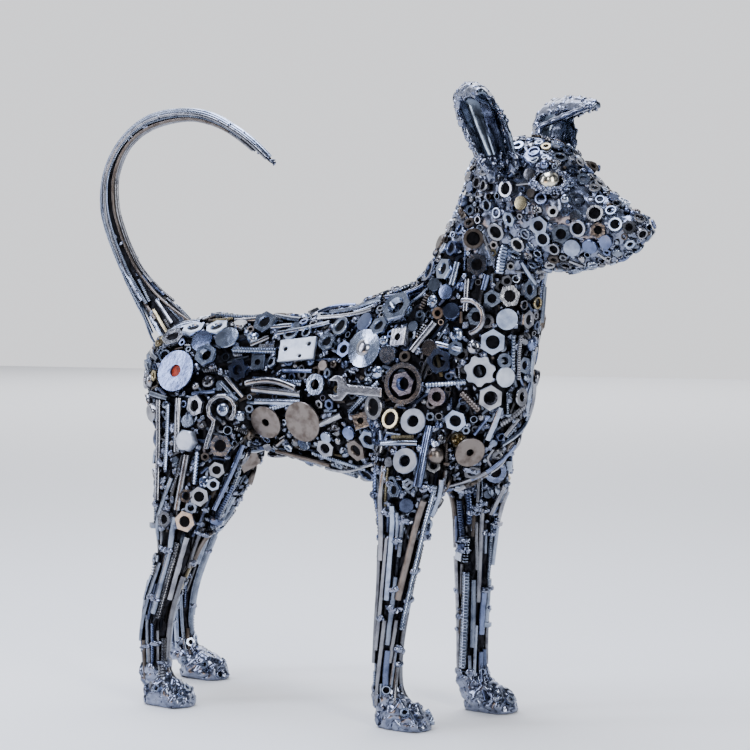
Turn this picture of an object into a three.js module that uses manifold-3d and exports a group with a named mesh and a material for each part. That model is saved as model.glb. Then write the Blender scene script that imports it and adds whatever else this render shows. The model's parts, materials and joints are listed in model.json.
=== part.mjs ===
// A standing dog welded from scrap: a shell of nuts, washers and bolts over torso, neck and head,
// four legs and a tail of rods, two folded ears and two steel balls for eyes.
// Millimetres, +Z up, nose towards +X, the dog's right side towards -Y, soles on z = 0.
import * as THREE from "three";
import { mergeVertices } from "three/addons/utils/BufferGeometryUtils.js";
import Module from "manifold-3d";

const wasm = await Module();
wasm.setup();

// Driving dimensions.
const figureHeight = 410;      // about the height from the soles to the ear tops
const weldGap = 0.3;           // clearance left around each separately made piece
const headTurn = 12;           // degrees the head looks round to the dog's right
const eyeBall = 14;            // diameter of the steel ball in each eye socket
const earPlate = 3;            // thickness of the ear plates with their weld skin
const rodsInLeg = 5;           // rods that show round each leg
const rodsInTail = 5;          // rods that show round the tail
const flute = 0.16;            // depth of the groove between two rods, as a share of the bundle's radius
const shellNut = 13;           // across flats of the nuts fused into the shell
const shellNutRise = 2.6;      // how far those nuts stand out of the shell
const headNut = 8;             // across flats of the smaller nuts on the head
const headNutRise = 1.6;

// The figure is free form: its stations are hundredths of the figure's height.
const share = figureHeight / 100;
const at = (x, y, z) => new THREE.Vector3(x, y, z).multiplyScalar(share);

// A closed three.js geometry as a manifold solid, with its faces turned outwards.
function solid(geometry) {
  const bare = geometry.index ? geometry.toNonIndexed() : geometry.clone();
  for (const name of Object.keys(bare.attributes)) {
    if (name !== "position") bare.deleteAttribute(name);
  }
  const merged = mergeVertices(bare, 1e-4);
  const position = merged.attributes.position;
  const corners = new Uint32Array(merged.index.array);
  const [a, b, c] = [new THREE.Vector3(), new THREE.Vector3(), new THREE.Vector3()];
  let sixVolumes = 0;
  for (let i = 0; i < corners.length; i += 3) {
    a.fromBufferAttribute(position, corners[i]);
    b.fromBufferAttribute(position, corners[i + 1]);
    c.fromBufferAttribute(position, corners[i + 2]);
    sixVolumes += a.dot(b.cross(c));
  }
  if (sixVolumes < 0) corners.reverse();
  return new wasm.Manifold(
    new wasm.Mesh({ numProp: 3, vertProperties: position.array, triVerts: corners }),
  );
}

function geometryOf(manifold) {
  const mesh = manifold.getMesh();
  const geometry = new THREE.BufferGeometry();
  geometry.setAttribute("position", new THREE.BufferAttribute(mesh.vertProperties, 3));
  geometry.setIndex(new THREE.BufferAttribute(mesh.triVerts, 1));
  return geometry;
}

// A closed form lofted through stations, each a centre and two half axes. The first and last are points.
// flutes cuts that many grooves along it, and swell grows every section by that much.
function loft(stations, { sides, rows, flutes = 0, swell = 0 }) {
  const along = (key) => new THREE.CatmullRomCurve3(stations.map((s) => s[key]), false, "catmullrom");
  const [centre, across, up] = [along("centre"), along("across"), along("up")];
  const skin = new THREE.SphereGeometry(1, sides, rows);
  const { position, uv } = skin.attributes;
  const point = new THREE.Vector3();
  for (let i = 0; i < position.count; i++) {
    const turn = uv.getX(i) * 2 * Math.PI;
    const t = 1 - uv.getY(i);
    const [w, h] = [across.getPoint(t), up.getPoint(t)];
    const groove = flutes ? 1 - flute * (1 - Math.abs(Math.cos((flutes * turn) / 2))) : 1;
    const inside = t > 0 && t < 1;
    const grow = (v) => (inside ? groove + swell / Math.max(v.length(), weldGap) : 0);
    point.copy(centre.getPoint(t));
    if (swell && !inside) {
      const inward = centre.getPoint(t ? 1 - 1 / rows : 1 / rows);
      point.addScaledVector(point.clone().sub(inward).normalize(), swell);
    }
    point.addScaledVector(w, Math.cos(turn) * grow(w)).addScaledVector(h, Math.sin(turn) * grow(h));
    position.setXYZ(i, point.x, point.y, point.z);
  }
  return solid(skin);
}

// The pocket that a bundle of rods stands in: its plain outline with few sides, drawn round it.
const socketSides = 10;
function socket(stations, rows) {
  const round = 1 / Math.cos(Math.PI / socketSides);
  const plain = stations.map(({ centre, across, up }) => ({
    centre,
    across: across.clone().multiplyScalar(round),
    up: up.clone().multiplyScalar(round),
  }));
  return loft(plain, { sides: socketSides, rows, swell: weldGap });
}

// Upright sections of a form that runs along X: [x, top, bottom, half width].
const lengthwise = (rows, place = at) =>
  rows.map(([x, top, bottom, half]) => {
    const centre = place(x, 0, (top + bottom) / 2);
    return {
      centre,
      across: place(x, half, (top + bottom) / 2).sub(centre),
      up: at(0, 0, (top - bottom) / 2),
    };
  });

// Level sections of a form that runs along Z: [z, x, y, half length, half width].
const upright = (rows, side = 1) =>
  rows.map(([z, x, y, halfLength, halfWidth]) => ({
    centre: at(x, side * y, z),
    across: at(halfLength, 0, 0),
    up: at(0, halfWidth, 0),
  }));

// The head looks round about an upright axis through the top of the neck.
const headPivot = 22.5;
const headAngle = -THREE.MathUtils.degToRad(headTurn);
const inHead = (x, y, z) =>
  at(x, y, z).applyAxisAngle(new THREE.Vector3(0, 0, 1), headAngle).add(at(headPivot, 0, 0));

const torso = () =>
  loft(
    lengthwise([
      [-42.8, 54.5, 54.5, 0],
      [-42, 59.6, 48, 5.4],
      [-39, 62.4, 43.6, 8.8],
      [-34, 63.6, 41.6, 10.2],
      [-27, 63.9, 41, 10],
      [-19, 64, 40.6, 8.8],
      [-11, 64.5, 39, 8.4],
      [-3, 66, 37.4, 9.2],
      [5, 69, 36.2, 10.2],
      [12.6, 70.8, 35.8, 10.4],
      [18, 70, 37.2, 9.6],
      [22.6, 67, 41, 8],
      [26, 62, 47, 5.2],
      [27.4, 55, 55, 0],
    ]),
    { sides: 16, rows: 15 },
  );

const neck = () =>
  loft(
    upright([
      [51, 17, 0, 0, 0],
      [54, 17.4, 0, 8.4, 6.6],
      [60, 17.6, 0, 10.8, 8.7],
      [66, 18.4, 0, 10.8, 8.7],
      [71, 19.6, 0, 9.9, 8],
      [76, 21.2, 0, 8.6, 7.3],
      [81, 22.6, 0, 7.4, 7],
      [86, 23.2, 0, 5.8, 6],
      [88.4, 23.4, 0, 0, 0],
    ]),
    { sides: 14, rows: 9 },
  );

const head = () =>
  loft(
    lengthwise(
      [
        [-5.4, 84, 84, 0],
        [-4.8, 87.6, 79.6, 3.6],
        [-2.4, 90.2, 75.6, 6.2],
        [1.2, 91.2, 72.4, 7.4],
        [5.4, 91.3, 70.6, 7.7],
        [9.4, 90.6, 70.1, 7.4],
        [12.6, 89.1, 70.1, 6.8],
        [15.2, 86.2, 70.3, 5.6],
        [17.8, 84, 70.6, 4.7],
        [21, 81.8, 71.4, 4],
        [24.2, 79.7, 72.8, 3.2],
        [26.8, 78.1, 75, 2.1],
        [28, 77, 76.4, 0],
      ],
      inHead,
    ),
    { sides: 16, rows: 16 },
  );

// The scrap-clad mass of each thigh and upper arm: [z, x, y, half length, half width].
const rightThigh = [
  [57, -31, 5, 0, 0],
  [55, -30.6, 5.4, 9.4, 4.4],
  [50, -29.4, 6.8, 11, 5],
  [44, -28.4, 8, 9.6, 4.9],
  [38, -28.8, 9, 8.5, 4.7],
  [32, -29.6, 10, 6.8, 4.5],
  [28, -30.4, 10.4, 5.9, 4.2],
  [26.6, -30.6, 10.5, 0, 0],
];
const leftThigh = [
  [57, -34, 5, 0, 0],
  [55, -33.6, 5.4, 9, 4.4],
  [50, -33, 6.8, 10.4, 5],
  [44, -34, 8, 9.3, 4.9],
  [38, -36.4, 9, 8.1, 4.7],
  [32, -39.4, 10, 6.6, 4.5],
  [28, -41, 10.4, 5.7, 4.2],
  [26.6, -41.4, 10.5, 0, 0],
];
const rightArm = [
  [56, 9.4, 5, 0, 0],
  [54, 9.6, 5.4, 7.6, 4.6],
  [48, 10.6, 6.8, 7.8, 4.3],
  [42, 11.2, 8.6, 7, 4.1],
  [37, 11, 9.3, 6.6, 4],
  [33.6, 10.6, 9.4, 5.9, 3.9],
  [32.2, 10.6, 9.5, 0, 0],
];
const leftArm = [
  [56, 12.4, 5, 0, 0],
  [54, 12.6, 5.4, 7.6, 4.6],
  [48, 13.2, 6.8, 7.8, 4.3],
  [42, 13.6, 8.6, 6.4, 4.1],
  [37, 13.4, 9.3, 6, 4],
  [33.6, 13.1, 9.5, 5.4, 3.9],
  [32.2, 13, 9.6, 0, 0],
];
const massOf = (stations, side) => loft(upright(stations, side), { sides: 10, rows: 7 });

// A heavy brow over each eye socket.
const brow = (side) => {
  const centre = inHead(11.9, side * 5, 86.1);
  const bump = new THREE.SphereGeometry(share, 8, 6).scale(2.8, 1.7, 1.2);
  return solid(bump.translate(centre.x, centre.y, centre.z));
};

const eyeCentre = (side) => inHead(12.8, side * 5.1, 83.7);
const ball = (side, swell = 0) => {
  const centre = eyeCentre(side);
  const sphere = new THREE.SphereGeometry(eyeBall / 2 + swell, 12, 7);
  return solid(sphere.translate(centre.x, centre.y, centre.z));
};

// The leg rods: [z, x, y, half length, half width] from inside the body down to the ankle.
const rightFrontLeg = [
  [40, 11.2, 9.2, 0, 0],
  [38, 11.1, 9.3, 5.4, 3],
  [32, 10.4, 9.5, 5.1, 3.3],
  [26, 9.6, 9.5, 4.1, 3],
  [20, 8.6, 9.5, 3.2, 2.7],
  [13, 7.6, 9.5, 2.7, 2.5],
  [7, 7.3, 9.5, 2.6, 2.5],
  [3, 7.6, 9.5, 2.7, 2.6],
  [1.4, 7.8, 9.5, 0, 0],
];
const leftFrontLeg = [
  [40, 13.6, 9.2, 0, 0],
  [38, 13.4, 9.3, 4.8, 3],
  [32, 12.9, 9.6, 4.6, 3.3],
  [26, 12.6, 9.7, 3.9, 3.1],
  [20, 12.4, 9.8, 3.3, 2.9],
  [13, 12.2, 9.9, 2.9, 2.7],
  [7, 12.1, 9.9, 2.8, 2.7],
  [3, 12.5, 9.9, 2.9, 2.7],
  [1.4, 12.7, 9.9, 0, 0],
];
const rightHindLeg = [
  [35, -29.4, 9.8, 0, 0],
  [33, -29.6, 9.9, 5.2, 3.2],
  [28, -30.5, 10.4, 4.8, 3.4],
  [22, -32.4, 11.1, 4, 3.2],
  [17, -34.3, 11.6, 3.4, 3],
  [12, -34.9, 11.8, 3.1, 2.9],
  [7.5, -35, 11.9, 2.8, 2.7],
  [3.4, -34.8, 11.9, 2.7, 2.6],
  [1.6, -34.6, 11.9, 0, 0],
];
const leftHindLeg = [
  [35, -38, 9.8, 0, 0],
  [33, -38.8, 9.9, 5, 3.2],
  [28, -41, 10.3, 4.6, 3.4],
  [22, -43.8, 11, 3.8, 3.2],
  [17, -46, 11.5, 3.3, 3],
  [12, -47, 11.7, 3.1, 2.9],
  [7.5, -47, 11.8, 2.9, 2.8],
  [3.4, -46.2, 11.8, 2.8, 2.7],
  [1.6, -45.8, 11.8, 0, 0],
];

// A paw: a low mass with a knuckled top, from the heel to the toes, cut flat at the sole.
// Stations are [x from the heel, top, half width].
const pawStations = [
  [0, 2.6, 0],
  [0.6, 4.8, 1.9],
  [2.2, 6, 2.7],
  [4.3, 5.2, 3.1],
  [6.6, 4.2, 3.2],
  [8.4, 3, 2.6],
  [9.4, 1.4, 0],
];
const pawSink = 2;             // the lowest part of the paw's section, cut off at the sole
const paw = (heel, y) =>
  loft(
    pawStations.map(([x, top, half]) => ({
      centre: at(heel + x, y, (top - pawSink) / 2),
      across: at(0, half, 0),
      up: at(0, 0, half ? (top + pawSink) / 2 : 0),
    })),
    { sides: 12, rows: 8 },
  );

const groundBlock = () => {
  const side = figureHeight * 2;
  return solid(new THREE.BoxGeometry(side, side, side).translate(0, 0, -side / 2));
};

const legRows = 9;
const leg = (stations, heel, side) =>
  loft(upright(stations, side), { sides: 4 * rodsInLeg, rows: legRows, flutes: rodsInLeg })
    .add(paw(heel, side * stations.at(-2)[2]))
    .subtract(groundBlock());

// The tail curls up and forward over the back: [x, z, thickness].
const tailStations = [
  [-36.5, 57.6, 0],
  [-37.4, 58.8, 7.4],
  [-41.2, 63.4, 6.2],
  [-46.2, 68.4, 4.5],
  [-50.4, 74.8, 3.7],
  [-52.8, 81, 3.3],
  [-53.2, 86.2, 3.1],
  [-51.4, 91, 2.9],
  [-47.4, 95, 2.7],
  [-42, 97, 2.6],
  [-36, 97.3, 2.5],
  [-30.6, 96, 2.3],
  [-25.8, 93.4, 2.1],
  [-21.6, 90.3, 1.7],
  [-19.6, 88.5, 1.3],
  [-19.1, 88, 0],
];
const tailLine = () => {
  const line = new THREE.CatmullRomCurve3(tailStations.map(([x, z]) => at(x, 0, z)), false, "catmullrom");
  return tailStations.map(([, , thick], i) => {
    const t = i / (tailStations.length - 1);
    const outward = line.getTangent(t).cross(new THREE.Vector3(0, 1, 0)).normalize();
    return {
      centre: line.getPoint(t),
      across: outward.multiplyScalar((thick / 2) * share),
      up: at(0, thick / 2, 0),
    };
  });
};
const tailRows = 22;
const tail = () => loft(tailLine(), { sides: 3 * rodsInTail, rows: tailRows, flutes: rodsInTail });

// An ear is a cupped plate, swept up from the skull and folded over into a pointed flap.
// Stations: [along its facing direction, up, half width, cup depth, direction of travel in degrees].
const rightEarFacing = 42;     // degrees outwards from straight ahead that the right ear's cup opens
const leftEarFacing = -22;     // the left one is turned past the front, to the dog's right
const leftFlap = 1.5;          // how much further the left ear's flap reaches than the right one's
const rightEarRoot = [5.1, 6.9, 0];    // where each ear stands on the head: along, half across, and up
const leftEarRoot = [2.5, 6.8, -0.9];
const rightEarLean = [0.27, 0.21];     // how far each leans back and outwards for each step up
const leftEarLean = [-0.06, 0.2];
const earStations = [
  [-1.6, 84.2, 1.8, 3.4, 96],
  [-2.4, 87.4, 2.9, 4.9, 96],
  [-2.9, 90.8, 3.3, 5, 94],
  [-3, 94, 3.4, 4.2, 88],
  [-2.4, 96.6, 3.3, 3.4, 56],
  [-0.4, 98.2, 3, 2.9, 12],
  [2.4, 98.3, 2.4, 2.5, -6],
  [5.2, 97.7, 1.6, 1.8, -14],
  [8, 96.8, 0.6, 0.9, -16],
];
const earArc = 6;              // points across the cup
function ear(side, swell = 0) {
  const facing = THREE.MathUtils.degToRad(side < 0 ? -rightEarFacing : leftEarFacing);
  const place = (out, z, across) => {
    const [root, lean] = side < 0 ? [rightEarRoot, rightEarLean] : [leftEarRoot, leftEarLean];
    const [back, outwards] = lean.map((v) => v * (z - earStations[0][1]));
    const x = root[0] - back + out * Math.cos(facing) - across * Math.sin(facing);
    const y = side * (root[1] + outwards) + out * Math.sin(facing) + across * Math.cos(facing);
    return inHead(x, y, z + root[2]);
  };
  const half = earPlate / 2 / share + swell / share;
  const rings = earStations.map(([reach, z, width, depth, travel]) => {
    const out = side > 0 && reach > 0 ? reach * leftFlap : reach;
    const steep = THREE.MathUtils.degToRad(travel);
    const open = [Math.sin(steep), -Math.cos(steep)];
    const skin = (offset) =>
      Array.from({ length: earArc }, (_, i) => {
        const bend = ((i / (earArc - 1)) * 2 - 1) * (Math.PI / 2);
        const across = Math.sin(bend) * (width + offset);
        const cup = (1 - Math.cos(bend)) * (depth + offset) - offset;
        return place(out + open[0] * cup, z + open[1] * cup, across);
      });
    return [...skin(half), ...skin(-half).reverse()];
  });
  return ringSolid(rings);
}

// Closes a stack of rings with the same number of points into one solid with flat ends.
function ringSolid(rings) {
  const count = rings[0].length;
  const points = rings.flat();
  const index = [];
  for (let row = 0; row + 1 < rings.length; row++) {
    for (let i = 0; i < count; i++) {
      const next = (i + 1) % count;
      const above = (row + 1) * count;
      const [a, b, c, d] = [row * count + i, row * count + next, above + next, above + i];
      index.push(a, b, c, a, c, d);
    }
  }
  // A band's end is a strip between its outer and inner lines.
  const strip = (start, flip) => {
    for (let i = 0; i + 1 < count / 2; i++) {
      const [a, b, c, d] = [start + i, start + i + 1, start + count - 2 - i, start + count - 1 - i];
      index.push(...(flip ? [a, b, c, a, c, d] : [c, b, a, d, c, a]));
    }
  };
  strip(0, false);
  strip((rings.length - 1) * count, true);
  const geometry = new THREE.BufferGeometry().setFromPoints(points);
  geometry.setIndex(index);
  return solid(geometry);
}

// Large scraps lie on the shell, each seated where a line from outside meets it.
const far = figureHeight;
const rimShare = 0.8;          // where the rim is felt, as a share of the scrap's half size
const ray = new THREE.Raycaster();
function firstHit(carrier, target, outward) {
  ray.set(target.clone().addScaledVector(outward, far), outward.clone().negate());
  const [hit] = ray.intersectObject(carrier);
  if (!hit) throw new Error("no surface under a scrap");
  return hit;
}

// The seat's matrix: +Z out of the surface, +Y as near upright as it can be, its origin on the rim's mean.
// The rim's points lie wide to each side and high above and below the target.
function seat(carrier, target, outward, wide, high) {
  const upward = Math.abs(outward.z) > 0.9 ? new THREE.Vector3(1, 0, 0) : new THREE.Vector3(0, 0, 1);
  const e1 = new THREE.Vector3().crossVectors(upward, outward).normalize();
  const e2 = new THREE.Vector3().crossVectors(outward, e1);
  const under = (a, b) => {
    const aim = target.clone().addScaledVector(e1, a * wide).addScaledVector(e2, b * high);
    return firstHit(carrier, aim, outward).point;
  };
  const [right, left, top, low] = [under(1, 0), under(-1, 0), under(0, 1), under(0, -1)];
  const normal = right.clone().sub(left).cross(top.clone().sub(low)).normalize();
  const origin = right.clone().add(left).add(top).add(low).multiplyScalar(1 / 4);
  const x = new THREE.Vector3().crossVectors(upward, normal).normalize();
  const y = new THREE.Vector3().crossVectors(normal, x);
  return new THREE.Matrix4().makeBasis(x, y, normal).setPosition(origin);
}

// Flat outlines of the scraps.
const roundSides = 10;
const circle = (radius, sides = roundSides, turn = 0) => {
  const step = (2 * Math.PI) / sides;
  return Array.from({ length: sides }, (_, i) =>
    new THREE.Vector2(Math.cos(turn + i * step), Math.sin(turn + i * step)).multiplyScalar(radius));
};
const hexagon = (acrossFlats) => circle(acrossFlats / Math.sqrt(3), 6);
const box = (wide, high) =>
  [[-1, -1], [1, -1], [1, 1], [-1, 1]].map(([x, y]) => new THREE.Vector2((x * wide) / 2, (y * high) / 2));
const notched = (radius, teeth, depth) =>
  circle(radius, teeth * 4).map((p, i) => (i % 4 < 2 ? p : p.multiplyScalar(1 - depth)));

// A flat piece cut from an outline, with round holes [x, y, radius], and the pocket it needs in the shell.
// The pocket follows the grown outline where one is given, or else the outline moved out from its middle.
const pocketReach = 30;
const holeSides = 6;
const fromMiddle = (outline) => outline.map((p) => p.clone().setLength(p.length() + weldGap * Math.SQRT2));
function flat(outline, thick, holes = [], grown = fromMiddle(outline)) {
  const shape = new THREE.Shape(outline);
  shape.holes = holes.map(([x, y, radius]) =>
    new THREE.Path(circle(radius, holeSides).map((p) => p.add(new THREE.Vector2(x, y)))));
  const block = new THREE.ExtrudeGeometry(
    new THREE.Shape(grown), { depth: pocketReach, bevelEnabled: false });
  return {
    body: new THREE.ExtrudeGeometry(shape, { depth: thick, bevelEnabled: false }),
    pocket: block.translate(0, 0, -weldGap),
  };
}
const washer = (outer, bore, thick) => flat(circle(outer / 2), thick, [[0, 0, bore / 2]]);
const disc = (outer, thick) => flat(circle(outer / 2), thick);
const nut = (acrossFlats, bore, thick) => flat(hexagon(acrossFlats), thick, [[0, 0, bore / 2]]);
const hexHead = (acrossFlats, thick) => flat(hexagon(acrossFlats), thick);
const squareNut = (side, bore, thick) => flat(box(side, side), thick, [[0, 0, bore / 2]]);

// A bent rod that lies on the surface along a line of flat points.
const rodSides = 6;
function bentRod(points, thick) {
  const radius = thick / 2;
  const line = new THREE.CatmullRomCurve3(points.map(([x, y]) => new THREE.Vector3(x, y, radius)));
  const sweep = (r) =>
    new THREE.ExtrudeGeometry(new THREE.Shape(circle(r, rodSides, Math.PI / rodSides)), {
      steps: points.length + 2,
      extrudePath: line,
    });
  return { body: sweep(radius), pocket: sweep(radius + weldGap) };
}
const arc = (radius, from, to, count) =>
  Array.from({ length: count }, (_, i) => {
    const angle = THREE.MathUtils.degToRad(from + ((to - from) * i) / (count - 1));
    return [radius * Math.cos(angle), radius * Math.sin(angle)];
  });

// An open-ended spanner lying along X about its middle, its mouth towards -X.
function spanner(length, jaw, handle, thick) {
  const outline = (grow, mouth) => {
    const [radius, half] = [jaw / 2 + grow, handle / 2 + grow];
    const [neckAngle, lipAngle] = [half, mouth].map((v) => THREE.MathUtils.radToDeg(Math.asin(v / radius)));
    const end = length - jaw / 2 + grow;
    return [
      [end, -half],
      [end, half],
      ...arc(radius, neckAngle, 180 - lipAngle, 4),
      ...(mouth ? [[0, mouth], [0, -mouth]] : []),
      ...arc(radius, 180 + lipAngle, 360 - neckAngle, 4),
    ].map(([x, y]) => new THREE.Vector2(x + (jaw - length) / 2, y));
  };
  const grown = outline(weldGap * Math.SQRT2, 0)
    .filter((p, i, all) => !i || p.distanceTo(all[i - 1]) > weldGap);
  return flat(outline(0, jaw / 4), thick, [], grown);
}

// The large scraps, each [name, x and z of its place in hundredths of the height, degrees turned, piece].
// The first list is on the dog's right side and the second, plainer one on its left.
const washerThick = 2;
const boltNut = { acrossFlats: 13, bore: 8, thick: 4.5 };
const m8Nut = () => nut(boltNut.acrossFlats, boltNut.bore, boltNut.thick);
const cRod = { radius: 10.5, thick: 4 };
const hookRod = { radius: 9.1, thick: 4 };
const hookFoot = [-22.5, 46.3];
const hookLine = () => {
  const ring = arc(hookRod.radius, -50, 240, 8);
  const shank = [[-0.74, -1.6], [-0.94, -2.2], [-1.1, -2.9]].map((p) => p.map((v) => v * hookRod.radius));
  return [...ring, ...shank].map(([x, y]) => [x, y + hookRod.radius]);
};
const flankRod = { length: 38, rise: 3.6, thick: 5 };
const flankLine = () =>
  Array.from({ length: 5 }, (_, i) => {
    const t = i / 4;
    return [(t - 0.5) * flankRod.length, flankRod.rise * Math.sin(Math.PI * t)];
  });
const plateHoles = [[-9, 1, 1.8], [9, 3, 1.8], [3, -5, 1.5]];
const rightScraps = [
  ["hip_washer", -32.1, 54.5, 0, washer(30, 8, washerThick)],
  ["rump_nut", -26.6, 57, 10, m8Nut()],
  ["thigh_bolt_head", -27.8, 43.4, 20, hexHead(boltNut.acrossFlats, 5.3)],
  ["thigh_hook", ...hookFoot, 0, bentRod(hookLine(), hookRod.thick)],
  ["thigh_screw_head", hookFoot[0], hookFoot[1] + hookRod.radius / share, 0, disc(9.4, 3)],
  ["flank_disc", -16.2, 46.6, 0, washer(24, 4.5, 1.6)],
  ["belly_disc", -9, 46.9, 0, disc(29, 1.6)],
  ["hole_plate", -10.2, 58.1, 6, flat(box(28, 15.5), 3, plateHoles)],
  ["flank_rod", -14.4, 52.4, -4, bentRod(flankLine(), flankRod.thick)],
  ["flank_washer", -6, 52.8, 0, washer(15, 8, washerThick)],
  ["shoulder_dome_washer", 2.9, 58.6, 0, washer(26, 9, washerThick)],
  ["shoulder_spanner", 2, 52.2, -3, spanner(44, 17.5, 6, 4)],
  ["shoulder_ring", 11, 53.3, 0, washer(28, 21, 4.5)],
  ["ring_nut", 11, 53.3, 0, m8Nut()],
  ["withers_nut", 8.4, 64.6, 0, nut(17, 10.5, 6)],
  ["shoulder_washer", 12.8, 47.6, 0, washer(16.5, 7, washerThick)],
  ["arm_washer", 12.2, 41.6, 0, washer(16.5, 7, washerThick)],
  ["chest_notched_washer", 16.5, 56.7, 0, flat(notched(8.6, 5, 0.14), 3, [[0, 0, 3.4]])],
  ["chest_nut", 23.6, 51.4, 12, m8Nut()],
  ["brisket_washer", 19.9, 43, 0, washer(21, 4, 1.8)],
  ["neck_c_rod", 20.6, 63.6, 0, bentRod(arc(cRod.radius, -80, 110, 7), cRod.thick)],
];
const leftScraps = [
  ["left_hip_washer", -31, 54.4, 0, washer(24, 8, washerThick)],
  ["left_thigh_nut", -33.6, 43, 15, m8Nut()],
  ["left_flank_disc", -12, 50, 0, washer(22, 5, 1.6)],
  ["left_shoulder_washer", 6.4, 56, 0, washer(26, 9, washerThick)],
  ["left_shoulder_ring", 15, 50, 0, washer(24, 17, 4.5)],
  ["left_chest_nut", 19.4, 58.6, 0, m8Nut()],
];

// Smaller nuts are fused into the shell in rows round torso, neck and head.
// Each row is [x of the aim, z of the aim, angles from straight up in degrees].
const torsoRows = [
  [-30, 54, [0]],
  [-18, 54, [20]],
  [-8, 54, [0, 125]],
  [3, 54, [22]],
];
const neckRows = [
  [18, 63, [95]],
  [20, 74, [75]],
];
const headRows = [
  [31, 77.4, [72]],
  [38, 76.6, [78]],
];

function fusedNuts(carrier, rows, acrossFlats, rise, taken) {
  const made = [];
  for (const [x, z, angles] of rows) {
    for (const angle of angles.flatMap((v) => (v % 180 ? [v, -v] : [v]))) {
      const tilt = THREE.MathUtils.degToRad(angle);
      const outward = new THREE.Vector3(0, Math.sin(tilt), Math.cos(tilt));
      const frame = seat(carrier, at(x, 0, z), outward, acrossFlats / 2, acrossFlats / 2);
      const centre = new THREE.Vector3().setFromMatrixPosition(frame);
      if (taken.some(({ place, reach }) => place.distanceTo(centre) < reach + acrossFlats / 2)) continue;
      const depth = rise + acrossFlats / 4;
      const block = new THREE.ExtrudeGeometry(
        new THREE.Shape(hexagon(acrossFlats)), { depth, bevelEnabled: false });
      made.push(solid(block.translate(0, 0, rise - depth).applyMatrix4(frame)));
    }
  }
  return made;
}

// Steel as the scrap shows it, from bright discs to weld-blackened shell.
const steel = (name, colour, roughness) =>
  new THREE.MeshStandardMaterial({ name, color: colour, roughness, metalness: 1 });
const weldedSteel = steel("welded_steel", 0x5c6066, 0.42);
const rodSteel = steel("rod_steel", 0x75797e, 0.34);
const brightSteel = steel("bright_steel", 0xa3a9b2, 0.28);
const ballSteel = steel("ball_steel", 0xb4b2aa, 0.16);

const legs = {
  right_front_leg: [rightFrontLeg, 5.7, -1],
  left_front_leg: [leftFrontLeg, 10.8, 1],
  right_hind_leg: [rightHindLeg, -37, -1],
  left_hind_leg: [leftHindLeg, -46.4, 1],
};

const figure = new THREE.Group();
const pieces = new Map();
for (const [name, [stations, heel, side]] of Object.entries(legs)) {
  pieces.set(name, { made: leg(stations, heel, side), material: rodSteel });
}

let shell = [
  neck(),
  head(),
  massOf(rightThigh, -1),
  massOf(leftThigh, 1),
  massOf(rightArm, -1),
  massOf(leftArm, 1),
  brow(-1),
  brow(1),
].reduce((sum, form) => sum.add(form), torso());
for (const [stations, , side] of Object.values(legs)) {
  shell = shell.subtract(socket(upright(stations, side), legRows));
}

const surface = new THREE.Mesh(geometryOf(shell));
const taken = [];
const pockets = [];
for (const [list, side] of [[rightScraps, -1], [leftScraps, 1]]) {
  for (const [name, x, z, turned, { body, pocket }] of list) {
    body.computeBoundingBox();
    const reach = body.boundingBox.getSize(new THREE.Vector3()).multiplyScalar(1 / 2);
    const outward = new THREE.Vector3(0, side, 0);
    const frame = seat(surface, at(x, 0, z), outward, reach.x * rimShare, reach.y * rimShare);
    frame.multiply(new THREE.Matrix4().makeRotationZ(THREE.MathUtils.degToRad(turned)));
    pieces.set(name, { made: solid(body.applyMatrix4(frame)), material: brightSteel });
    pockets.push(solid(pocket.applyMatrix4(frame)));
    const place = new THREE.Vector3().setFromMatrixPosition(frame);
    taken.push({ place, reach: Math.max(reach.x, reach.y) });
  }
}

const nuts = [
  ...fusedNuts(surface, [...torsoRows, ...neckRows], shellNut, shellNutRise, taken),
  ...fusedNuts(surface, headRows, headNut, headNutRise, taken),
];
for (const form of nuts) shell = shell.add(form);
for (const form of pockets) shell = shell.subtract(form);
for (const [side, name] of [[-1, "right"], [1, "left"]]) {
  shell = shell.subtract(ball(side, weldGap)).subtract(ear(side, weldGap));
  pieces.set(name + "_eye_ball", { made: ball(side), material: ballSteel });
  pieces.set(name + "_ear", { made: ear(side), material: weldedSteel });
}
shell = shell.subtract(socket(tailLine(), tailRows));
pieces.set("tail", { made: tail(), material: rodSteel });
pieces.set("welded_shell", { made: shell, material: weldedSteel });

for (const [name, { made, material }] of pieces) {
  const mesh = new THREE.Mesh(geometryOf(made), material);
  mesh.name = name;
  figure.add(mesh);
}

// The origin is the middle of the figure's box, on the ground.
const bounds = new THREE.Box3().setFromObject(figure);
const middle = bounds.getCenter(new THREE.Vector3());
figure.position.set(-middle.x, -middle.y, -bounds.min.z);

export default figure;
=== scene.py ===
import json
import math

import bmesh
import bpy
import numpy as np
from bpy.props import FloatProperty, FloatVectorProperty, IntProperty, PointerProperty
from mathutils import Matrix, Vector
from mathutils.bvhtree import BVHTree


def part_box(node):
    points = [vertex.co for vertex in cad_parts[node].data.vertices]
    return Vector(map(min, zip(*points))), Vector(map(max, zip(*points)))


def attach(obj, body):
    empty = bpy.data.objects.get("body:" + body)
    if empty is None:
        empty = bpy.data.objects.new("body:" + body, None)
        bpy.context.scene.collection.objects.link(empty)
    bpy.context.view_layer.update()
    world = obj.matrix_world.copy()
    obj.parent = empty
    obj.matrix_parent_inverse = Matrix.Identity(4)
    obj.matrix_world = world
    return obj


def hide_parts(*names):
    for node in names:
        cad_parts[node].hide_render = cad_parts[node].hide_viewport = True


bl_info = {
    "name": "Scrap Metal Dog",
    "version": (1, 0, 0),
    "blender": (4, 5, 0),
    "location": "View3D > Sidebar > Scrap Dog",
    "description": "Dresses the dog's solids with welded nuts, washers, bolts and rods",
    "category": "Object",
}

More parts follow.
